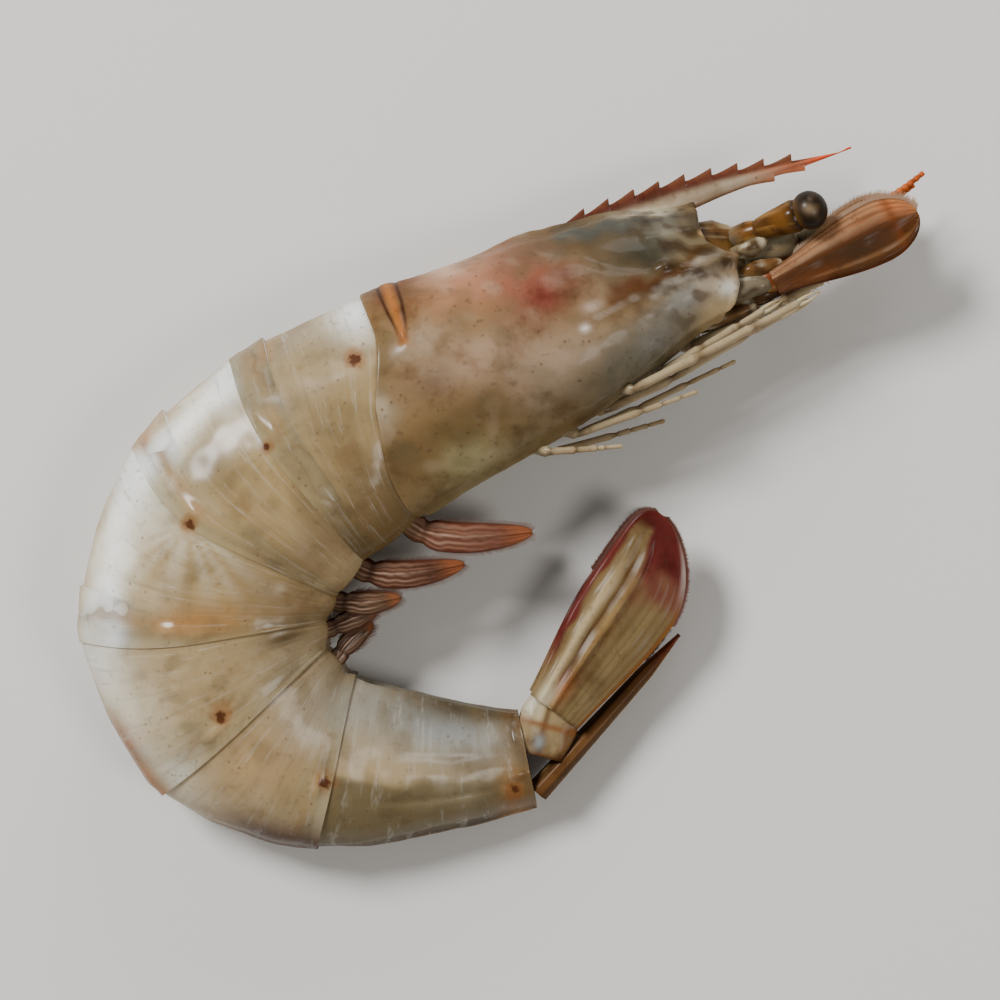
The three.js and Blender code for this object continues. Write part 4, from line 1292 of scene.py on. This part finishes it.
def antennal_scale(sign):
    """The scale's loops and marks: ribbed lengthwise, palest along its outer half."""
    grid, share, across, face = blade(
        SCALE_LENGTH, SCALE_WIDTH, SCALE_ROOT, SCALE_THICKNESS, 0.72, cup=sign * 0.3
    )
    ribs = [(0.1, 0.09, 0.12), (0.24, 0.05, -0.08), (-0.86, 0.09, 0.16), (-0.3, 0.3, -0.05)]
    ribs += [(0.42, 0.06, 0.07), (0.62, 0.05, 0.05), (-0.12, 0.05, 0.05), (-0.55, 0.05, 0.05)]
    grid = ribbed(grid, across, face, ribs)
    grid[..., 2] += 0.05 * ripple(grid, 51, 3.0)
    flat = np.stack([share * 14, across * 2.8], -1)
    tone = washed(
        "#4d301a",
        share.shape,
        ("#593721", ramp(share, 0.45, 0.0) * 0.8),
        ("#a97d5b", ramp(across, 0.1, 0.55) * 0.85),
        ("#c8a27c", hump(across, 0.42, 0.05) * ramp(share, 0.95, 0.7) * 0.7),
        ("#b5683f", hump(share, 0.88, 0.1) * hump(across, 0.7, 0.4) * 0.8),
        ("#7d4628", hump(share, 0.66, 0.12) * hump(across, 0.55, 0.2) * 0.6),
        ("#4d2f24", patch(flat, 9.6, -0.4, 1.8, 1.0) * 0.6),
        ("#3f2815", ramp(np.sin(across * 30 + 3 * share), 0.0, 0.6) * 0.45),
        ("#33281a", patch(flat, 7.6, -0.9, 3.2, 1.1) * 0.8),
        ("#4b2712", hump(across, 0.17, 0.05) * ramp(share, 0.95, 0.6) * 0.8),
        ("#5e3015", hump(share, 0.84, 0.03) * 0.6),
        ("#985f3a", ramp(share, 0.86, 0.97) * ramp(across, -0.2, 0.4) * 0.7),
        ("#3f200f", ramp(np.abs(across), 0.88, 1.0) * 0.85),
        ("#5e3219", patch(np.stack([share * 14, across * 2], -1), 4.0, -1.0, 2.5, 0.7) * 0.6),
        ("#8a6440", hump(across, -0.62, 0.06) * ramp(share, 0.1, 0.4) * 0.6),
    )
    return laid(grid, in_head((33.8, -2.9, 3.1), sign), SCALE_DEGREES[sign]), {"tone": tone}


feeler_shell = shell_finish("feeler_shell", 0.3, 0.8, 0.5, 0.1, 0.22)[0].material
hair_finish = Finish(
    "hairs", Roughness=0.4, Coat_Weight=0.3, Subsurface_Weight=0.2, Subsurface_Scale=MM
)
hair_finish.feed(Base_Color=hair_finish.mark("tone", "Color"))
hair_material = hair_finish.material
for side, sign in SIDES:
    piece(f"antennule_joints_{side}", antennule(sign), feeler_shell, f"antennule_{side}")
    rod_piece(f"whips_{side}", whips(sign), feeler_shell, "antenna")
    piece(f"antenna_joints_{side}", antenna(sign), feeler_shell, f"antenna_{side}")
    rod_piece(f"antenna_stub_{side}", antenna_stub(sign), feeler_shell, "antenna")
    scale = antennal_scale(sign)
    piece(f"scale_blade_{side}", [scale], feeler_shell, f"antennal_scale_{side}")
    fringe(f"scale_hairs_{side}", "antenna", scale[0], **SCALE_HAIRS)

# ---- Jaw feet and walking legs ---------------------------------------------------------------
# Thin pale jointed rods in two layers, folded forward under the head. The jaw feet are blunt and
# hairy, the first three pairs of legs end in small pincers, and the last two in plain claws.

LEG_THICKNESS, LEG_TIP = 1.1, 0.45  # of the solids, which the visible rods are slimmer than
LEG_GAP = 0.25
ROD_THICKNESS = LEG_THICKNESS * 0.8
JAW_FOOT_TIP = 0.7
CLAW, PALM, FINGER, FINGER_RADIUS = 1.6, 1.9, 2.2, 0.2
DIVE = 7  # how far behind its dive a leg starts to go down

# Each: where it leaves the body, the lane it lies in sideways, where it dives under the leg ahead
# of it in that lane, where its tip is on the right and on the left, and how it ends.
LEGS = (
    ("jaw_foot", 22.9, 1.1, 99, (38.6, -4.2), (37.4, -4.4), "blunt"),
    ("leg_1", 19.2, 2.6, 99, (34.0, -4.5), (35.5, -4.4), "pincer"),
    ("leg_2", 16.5, 4.1, 99, (37.2, -5.2), (33.5, -4.7), "pincer"),
    ("leg_3", 13.5, 1.1, 22.3, (35.6, -5.5), (37.0, -5.4), "pincer"),
    ("leg_4", 10.5, 2.6, 18.6, (23.8, -9.3), (28.5, -8.0), "claw"),
    ("leg_5", 7.5, 4.1, 15.9, (15.6, -11.3), (20.5, -10.6), "claw"),
)
LEG_COLOURS = ("#a08f70", "#5f4c32")


def underside(sizes, side):
    """How far the underside lies below the middle line, at a distance sideways from it."""
    around = np.linspace(math.pi, math.pi / 2, 400)
    height, reach = outline(around, *sizes)
    return -height[np.argmax(reach >= side)]


def leg_points(root, lane, dive, tip, sign):
    """The leg's joints: close under the head, and lower where it lies under the leg ahead."""

    def under(x):
        layer = ramp(x, dive - DIVE, dive)
        drop = LEG_GAP + LEG_THICKNESS / 2 + layer * (LEG_THICKNESS + LEG_GAP)
        return -underside(head_sizes(min(x, HEAD_X[-1])), lane) - drop

    start = root + 2
    inner = min(lane + 0.2, 2.3)
    points = [
        (root - 0.2, -underside(head_sizes(root), inner) - LEG_GAP + 1.2, inner),
        (start, under(start) + 0.1, lane),
    ]
    steps = ((dive - start) / (tip[0] - start), 0.7) if dive < tip[0] else (0.35, 0.65)
    for share in steps:
        x = start + (tip[0] - start) * share
        level = under(start) + (tip[1] - under(start)) * share
        points.append((x, min(under(x), level), lane))
    points.append((*tip, lane))
    return [in_head(point, sign) for point in points]


def leg_paths(points, ending):
    """The leg's rods, and its two fingers where it ends in a pincer."""
    tip, knee = points[-1], points[-2]
    heading = (tip - knee) / np.linalg.norm(tip - knee)
    across = np.array([-heading[1], heading[0], 0.0])
    if ending == "blunt":
        path, radii, tone = jointed(points, ROD_THICKNESS, JAW_FOOT_TIP, LEG_COLOURS)
        radii[-1] = 0.1
        return [(path, radii, tone)]
    if ending == "claw":
        claw = [*points[:-1], tip - heading * CLAW, tip]
        return [jointed(claw, ROD_THICKNESS, LEG_TIP * 0.8, LEG_COLOURS)]
    palm = tip - heading * PALM
    paths = [jointed([*points[:-1], palm], ROD_THICKNESS, LEG_TIP * 1.4, LEG_COLOURS)]
    share = np.linspace(0, 1, 9)[:, None]
    for side in (1, -1):
        curve = palm - heading * 0.3 + heading * FINGER * share
        curve = curve + across * side * (0.16 + 0.1 * np.sin(math.pi * share) - 0.12 * share**2)
        radii = FINGER_RADIUS * (1 - 0.7 * share[:, 0])
        paths.append((curve, radii, washed("#bfae8a", (9,), ("#7a4f2c", share[:, 0] ** 2 * 0.6))))
    return paths


leg_material = shell_finish("leg_shell", 0.35, 0.6, 0.3, 0.05)[0].material
for name, root, lane, dive, right, left, ending in LEGS:
    for side, sign in SIDES:
        points = leg_points(root, lane, dive, right if side == "right" else left, sign)
        label = f"{name}_{side}"
        rod_piece(f"{label}_limb", leg_paths(points, ending), leg_material, "leg", label)
        if ending == "blunt":
            fine = jointed(points, ROD_THICKNESS, JAW_FOOT_TIP, LEG_COLOURS, members=60)
            path, radii = (values[40:] for values in fine[:2])
            spin = np.random.default_rng(7).uniform(0, 2 * math.pi, len(path))
            out = np.stack([0 * spin - 0.2, np.cos(spin), np.sin(spin)], axis=-1)
            roots = path + out * radii[:, None] * 0.8
            hair_piece(f"{label}_hairs", roots, out + (0.9, 0.3, 0), 0.6, "#9c8768", "leg")

# ---- Swimmerets ------------------------------------------------------------------------------
# Five pairs of soft reddish-brown paddles, one pair under each of the first five rings. Each
# leaves the belly on a short stalk, bends over, and ends in a blade fringed with hairs.

SWIM_THICKNESS, SWIM_SIDE, SWIM_STALK, SWIM_GAP = 1.2, 2.1, 2.6, 0.4
SWIM_SUNK = 0.9  # how far the root is sunk towards the belly
SWIM_HAIRS_A_MM = 5  # for each mm of reach
SWIM_HAIRS = dict(colour="#5a3a28", start=24, forward=1.1, reach=0.75)
SWIM_COLOURS = ("#6a4232", "#543425", "#4f3c2b", "#4f3c2b", "#4f3c2b")

# Each: the ring it hangs from, how far along that ring, where it points, its reach and width.
SWIMMERETS = (
    (0, 0.55, -2, 11.0, 2.8),
    (1, 0.5, 3, 9.6, 2.5),
    (2, 0.55, 4, 6.0, 2.1),
    (3, 0.6, 22, 4.8, 1.9),
    (4, 0.6, 44, 4.4, 1.9),
)

SWIM_FIBRES = 17

swim_around = -full_turn(96)


def swimmeret(ring, share, aim, length, width, sign):
    """The paddle's loops and marks: it hangs from its ring and bends over to where it points."""
    at = joint_at[ring] + (joint_at[ring + 1] - joint_at[ring]) * share
    line_x, line_y, turn = (float(value) for value in middle_line(at))
    drop = underside(sizes_at(at, 0), SWIM_SIDE) + SWIM_GAP
    down = turn - math.pi / 2
    fold = math.radians(aim) - HEAD_AIM - down
    t = np.linspace(0, 0.995, 60)[:, None]
    tip_x, tip_y = length * math.cos(fold), length * math.sin(fold)
    x = 2 * t * (1 - t) * SWIM_STALK + t**2 * tip_x
    y = t**2 * tip_y
    ahead_x = 2 * (1 - 2 * t) * SWIM_STALK + 2 * t * tip_x
    ahead_y = 2 * t * tip_y
    speed = np.hypot(ahead_x, ahead_y)
    ahead_x, ahead_y = ahead_x / speed, ahead_y / speed
    close = np.sqrt(1 - np.clip((t - 0.55) / 0.45, 0, 1) ** 2.2)
    half_width = width / 2 * (0.75 + 0.25 * ramp(t, 0, 0.5)) * close
    half_width *= 1 - 0.2 * hump(t, 0.3, 0.05)
    across = np.cos(swim_around)[None, :] + 0 * t
    face = np.sign(np.sin(swim_around)) * np.abs(np.sin(swim_around)) ** 0.75
    thick = SWIM_THICKNESS / 2 * (1 - 0.5 * t) * np.minimum(1, close * 1.6)
    ridge = 0.16 * hump(across, 0.1, 0.13) - 0.1 * hump(across, 0.45, 0.1)
    ridge += 0.035 * np.sin(SWIM_FIBRES * across)
    z = thick * face[None, :] + ridge * face[None, :] * ramp(t, 0.2, 0.4)
    x = x + SWIM_SUNK * t - ahead_y * half_width * across
    y = y + ahead_x * half_width * across
    hung = (drop - SWIM_SUNK) * math.cos(down), (drop - SWIM_SUNK) * math.sin(down)
    root = (line_x + hung[0], line_y + hung[1], body_rise(at) + sign * SWIM_SIDE)
    grid = turned(np.stack([x, y, z], axis=-1), down) + root
    share = t + 0 * across
    across = across + 0.07 * ripple(grid, 50 + ring, 1.8)
    fibre = np.sin(SWIM_FIBRES * across + 3 * share)
    tone = washed(
        SWIM_COLOURS[ring],
        share.shape,
        ("#7d6340", ramp(share, 0.35, 0.0) * 0.8),
        ("#b89a86", hump(across, 0.1, 0.1) * ramp(share, 0.95, 0.5) * 0.65),
        ("#5a3426", hump(across, 0.34, 0.09) * 0.6),
        ("#a98a76", hump(across, 0.6, 0.08) * ramp(share, 0.9, 0.4) * 0.5),
        ("#b89c88", hump(across, -0.4, 0.08) * ramp(share, 0.85, 0.4) * 0.5),
        ("#a5806a", ramp(fibre, 0.2, 0.9) * ramp(share, 1.0, 0.6) * 0.35),
        ("#3f2519", ramp(fibre, -0.2, -0.9) * 0.28),
        ("#8f5230", ramp(share, 0.8, 0.97) * 0.7),
        ("#4a1f14", ramp(np.abs(across), 0.8, 1.0) * 0.7),
        ("#432a18", hump(share, 0.3, 0.04) * 0.6),
    )
    return grid, {"tone": tone}


swim_material = shell_finish("swimmeret_skin", 0.35, 0.8, 0.5, 0.1)[0].material
for number, sizes in enumerate(SWIMMERETS, 1):
    for side, sign in SIDES:
        grid, marks = swimmeret(*sizes, sign)
        label = f"swimmeret_{number}_{side}"
        piece(f"{label}_blade", [(grid, marks)], swim_material, label)
        count = int(SWIM_HAIRS_A_MM * sizes[3])
        fringe(f"{label}_hairs", "swimmeret", grid, count=count, seed=number, **SWIM_HAIRS)

# ---- Tail fan --------------------------------------------------------------------------------
# A stiff pointed spike in the middle and, on each side, a knobbly base with two flat blades. The
# blades are ribbed, olive-brown shell, dark red at their edges and ends, and fringed with hairs.

FAN_BEND = math.radians(45.3)
FAN_RISE = 3.8
TELSON = dict(length=19.6, width=4.2, root=4.0, thickness=1.9, widest=0.15, point=1.15)
BASE = dict(length=6.2, width=5.4, root=3.6, thickness=1.5, widest=0.5)
EXOPOD = dict(length=20.4, width=8.7, root=4.8, thickness=0.6, widest=0.6, skew=2.4)
ENDOPOD = dict(length=17.6, width=5.8, root=2.6, thickness=0.5, widest=0.55)
EXOPOD_LOOPS, ENDOPOD_LOOPS = dict(rows=110, count=120), dict(rows=90, count=96)
FAN_HAIRS = dict(colour="#4d2a20", forward=0.5, reach=0.55)

end_x, end_y, end_turn = (float(value) for value in middle_line(joint_at[-1] + LAST_LIP))
fan_turn = end_turn + math.pi + FAN_BEND


def in_fan(grid):
    """Points of the fan's frame, whose x is towards its tip and -y is out of the back."""
    return turned(grid, fan_turn) + (end_x, end_y, FAN_RISE)


def opened(share, across, sizes):
    """Places on a blade laid flat, in mm from its root and from its middle."""
    return np.stack([share * sizes["length"], across * (sizes["width"] / 2)], axis=-1)


def telson():
    """The spike stands on its edge: its width is upright, and its grooved back faces -y."""
    grid, share, across, face = blade(**TELSON)
    ribs = [(0.0, 0.22, -0.22), (0.42, 0.13, 0.16), (-0.42, 0.13, 0.16)]
    grid = ribbed(grid, across, face, ribs)
    upright = np.stack([grid[..., 0], -grid[..., 2], grid[..., 1]], axis=-1)
    tone = washed(
        "#4f3822",
        share.shape,
        ("#857350", hump(across, 0.0, 0.3) * 0.5),
        ("#755a38", hump(np.abs(across), 0.42, 0.14) * 0.7),
        ("#6d4a28", ramp(np.abs(across), 0.8, 1.0) * 0.7),
        ("#642618", ramp(share, 0.72, 0.95) * 0.85),
        ("#4a3018", ramp(share, 0.12, 0.0) * 0.6),
    )
    return in_fan(laid(upright, (-2.2, -2.6, 0), -9)), {"tone": tone}


def tail_base(sign):
    """The short knobbly root of the two blades."""
    grid, share, across, _ = blade(**BASE, rows=50)
    grid[..., 2] += sign * 0.3 * hump(share, 0.55, 0.3) * hump(across, 0.0, 0.6)
    grid[..., 2] += 0.1 * ripple(grid, 71, 2.2)
    seen = opened(share, across, BASE)
    tone = washed(
        "#8d7a58",
        share.shape,
        ("#bcae8c", hump(across, 0.4, 0.16) * 0.75),
        ("#4f3217", hump(across, 0.14, 0.09) * 0.8),
        ("#a08a60", hump(across, -0.12, 0.12) * 0.6),
        ("#5f3c1c", ramp(across, -0.4, -0.8) * 0.8),
        ("#7a4c28", hump(share, 0.46, 0.05) * 0.85),
        ("#5c3a20", patch(seen, 1.2, 0.6, 1.3, 1.1) * 0.9),
        ("#858a88", patch(seen, 1.2, 0.5, 0.75, 0.6)),
        ("#4f2c12", hump(share, 0.0, 0.06) * 0.9),
        ("#c4beaa", patch(seen, 4.5, 2.2, 1.2, 0.7)),
    )
    return in_fan(laid(grid, (0.8, -0.9, sign * 1.95), 18)), {"tone": tone}


def exopod(sign):
    """The outer blade: a thick outer edge, two strong ribs and a broad thin panel."""
    grid, share, across, face = blade(**EXOPOD, **EXOPOD_LOOPS, cup=sign * 0.4, bow=-sign * 0.2)
    fade = ramp(share, 0.97, 0.75)
    ribs = [(0.62, 0.09, 0.22), (0.4, 0.06, -0.14), (0.18, 0.07, 0.17), (0.02, 0.05, -0.12)]
    ribs += [(0.93, 0.06, 0.12), (-0.9, 0.06, 0.08)]
    grid = ribbed(grid, across, face, ribs, fade)
    fine_ribs = np.sin(across * 34)
    height = 0.015 * fine_ribs * ramp(across, 0.05, -0.1) * fade
    grid[..., 2] += height * np.sign(face) * np.abs(face) ** 0.5 + 0.1 * ripple(grid, 73, 6.0)
    inner = ramp(across, 0.05, -0.02)
    seen = opened(share, across, EXOPOD)
    wander = 0.05 * ripple(grid, 75, 3.0)
    tone = washed(
        "#725e3e",
        share.shape,
        ("#655438", inner * 0.7),
        ("#7d6c49", hump(across, -0.45, 0.22) * 0.5),
        ("#b5a17b", hump(across, 0.58, 0.1) * ramp(share, 0.85, 0.45)),
        ("#452a10", hump(across + wander * 0.3, 0.37, 0.05) * ramp(share, 0.86, 0.7) * 0.95),
        ("#96784a", hump(across, 0.18, 0.08) * ramp(share, 0.8, 0.5) * 0.7),
        ("#4e3316", hump(across, 0.03, 0.04) * ramp(share, 0.8, 0.6) * 0.85),
        ("#553a1d", (fine_ribs < -0.3) * inner * fade * 0.3),
        ("#8a4a20", patch(seen, 2.2, 0.9, 1.6, 1.1) * 0.7),
        ("#c4bb9c", patch(seen, 0.6, 2.4, 1.6, 1.1) * 0.8),
        ("#66382c", ramp(share + wander, 0.56, 0.8) * ramp(across + wander, 0.3, 0.12)),
        ("#54221f", ramp(share + wander, 0.68, 0.84) * ramp(across + wander, 0.28, 0.1)),
        ("#5e2924", ramp(across + wander, 0.78, 0.9) * ramp(share, 0.08, 0.3)),
        ("#52211e", ramp(share + wander, 0.86, 0.95)),
        ("#7d4f26", ramp(across, -0.88, -0.96) * ramp(share, 0.8, 0.6) * 0.9),
        ("#b7a9a0", ramp(across, -0.78, -0.97) * hump(share, 0.83, 0.09) * 0.7),
    )
    return in_fan(laid(grid, (5.0, 0.3, sign * 3.3), -2)), {"tone": tone}


def endopod(sign):
    """The inner blade, under the outer one: a single rib down its middle."""
    grid, share, across, face = blade(**ENDOPOD, **ENDOPOD_LOOPS, cup=sign * 0.3)
    fade = ramp(share, 0.97, 0.75)
    ribs = [(0.0, 0.09, 0.16), (0.16, 0.05, -0.1), (-0.16, 0.05, -0.1)]
    grid = ribbed(grid, across, face, ribs, fade)
    tone = washed(
        "#735b34",
        share.shape,
        ("#a0855a", hump(across, 0.0, 0.12) * ramp(share, 0.9, 0.6)),
        ("#6a4826", hump(np.abs(across), 0.17, 0.05) * 0.6),
        ("#5f1c14", ramp(share + 0.05 * ripple(grid, 77, 3.0), 0.66, 0.84)),
        ("#6b2c1c", ramp(np.abs(across), 0.8, 0.98) * 0.8),
    )
    return in_fan(laid(grid, (4.8, -0.4, sign * 1.1), -6)), {"tone": tone}


fan_material = shell_finish("fan_shell", 0.25, 0.7, 0.3, 0.07, 0.18)[0].material
piece("tail_spike", [telson()], fan_material, "telson")
for side, sign in SIDES:
    piece(f"tail_root_{side}", [tail_base(sign)], fan_material, f"tail_base_{side}")
    outer, inner = exopod(sign), endopod(sign)
    piece(f"outer_blade_{side}", [outer], fan_material, f"exopod_{side}")
    piece(f"inner_blade_{side}", [inner], fan_material, f"endopod_{side}")
    fringe(f"exopod_hairs_{side}", "tail", outer[0], **FAN_HAIRS, start=46, count=260, seed=3)
    fringe(f"endopod_hairs_{side}", "tail", inner[0], **FAN_HAIRS, start=30, count=220, seed=4)

# ---- Surface, light and camera ---------------------------------------------------------------
# A plain pale surface, soft light from a large lamp at the upper left and two weaker ones, and a
# camera straight above, whose upright is +Y.

LOOK_DISTANCE, LOOK_HEIGHT = 0.26, 0.008
VIEW_WIDTH = 0.091
SENSOR = 36.0
HALF_SURFACE = 1.5

surface_mesh = bpy.data.meshes.new("surface")
corners = [(x * HALF_SURFACE, y * HALF_SURFACE, 0) for x, y in ((-1, -1), (1, -1), (1, 1), (-1, 1))]
surface_mesh.from_pydata(corners, [], [(0, 1, 2, 3)])
pale = Finish("pale_surface", Base_Color=paint("#dcdad6"), Roughness=0.6)
surface_mesh.materials.append(pale.material)
surface = added("surface", surface_mesh)


def lamp(name, where, size, power, colour=(1, 1, 1)):
    light = bpy.data.lights.new(name, "AREA")
    light.shape, light.size, light.energy, light.color = "DISK", size, power, colour
    holder = added(name, light)
    holder.location = where
    holder.rotation_euler = (-Vector(where)).to_track_quat("-Z", "Y").to_euler()


lamp("key", (-0.5, 0.45, 0.75), 0.3, 12.0)
lamp("fill", (0.5, -0.2, 0.8), 0.3, 2.5, (1.0, 0.97, 0.93))
lamp("back", (0.1, 0.8, 0.35), 0.4, 2.0)

world = bpy.data.worlds.new("room")
world.use_nodes = True
room_light = world.node_tree.nodes["Background"].inputs
room_light["Color"].default_value = (1.0, 0.98, 0.95, 1)
room_light["Strength"].default_value = 0.25
bpy.context.scene.world = world

camera_data = bpy.data.cameras.new("camera")
camera_data.sensor_width = SENSOR
camera_data.lens = SENSOR * LOOK_DISTANCE / VIEW_WIDTH
camera_data.clip_start = 0.01
camera = added("camera", camera_data)
camera.location = (0, 0, LOOK_DISTANCE + LOOK_HEIGHT)
bpy.context.scene.camera = camera
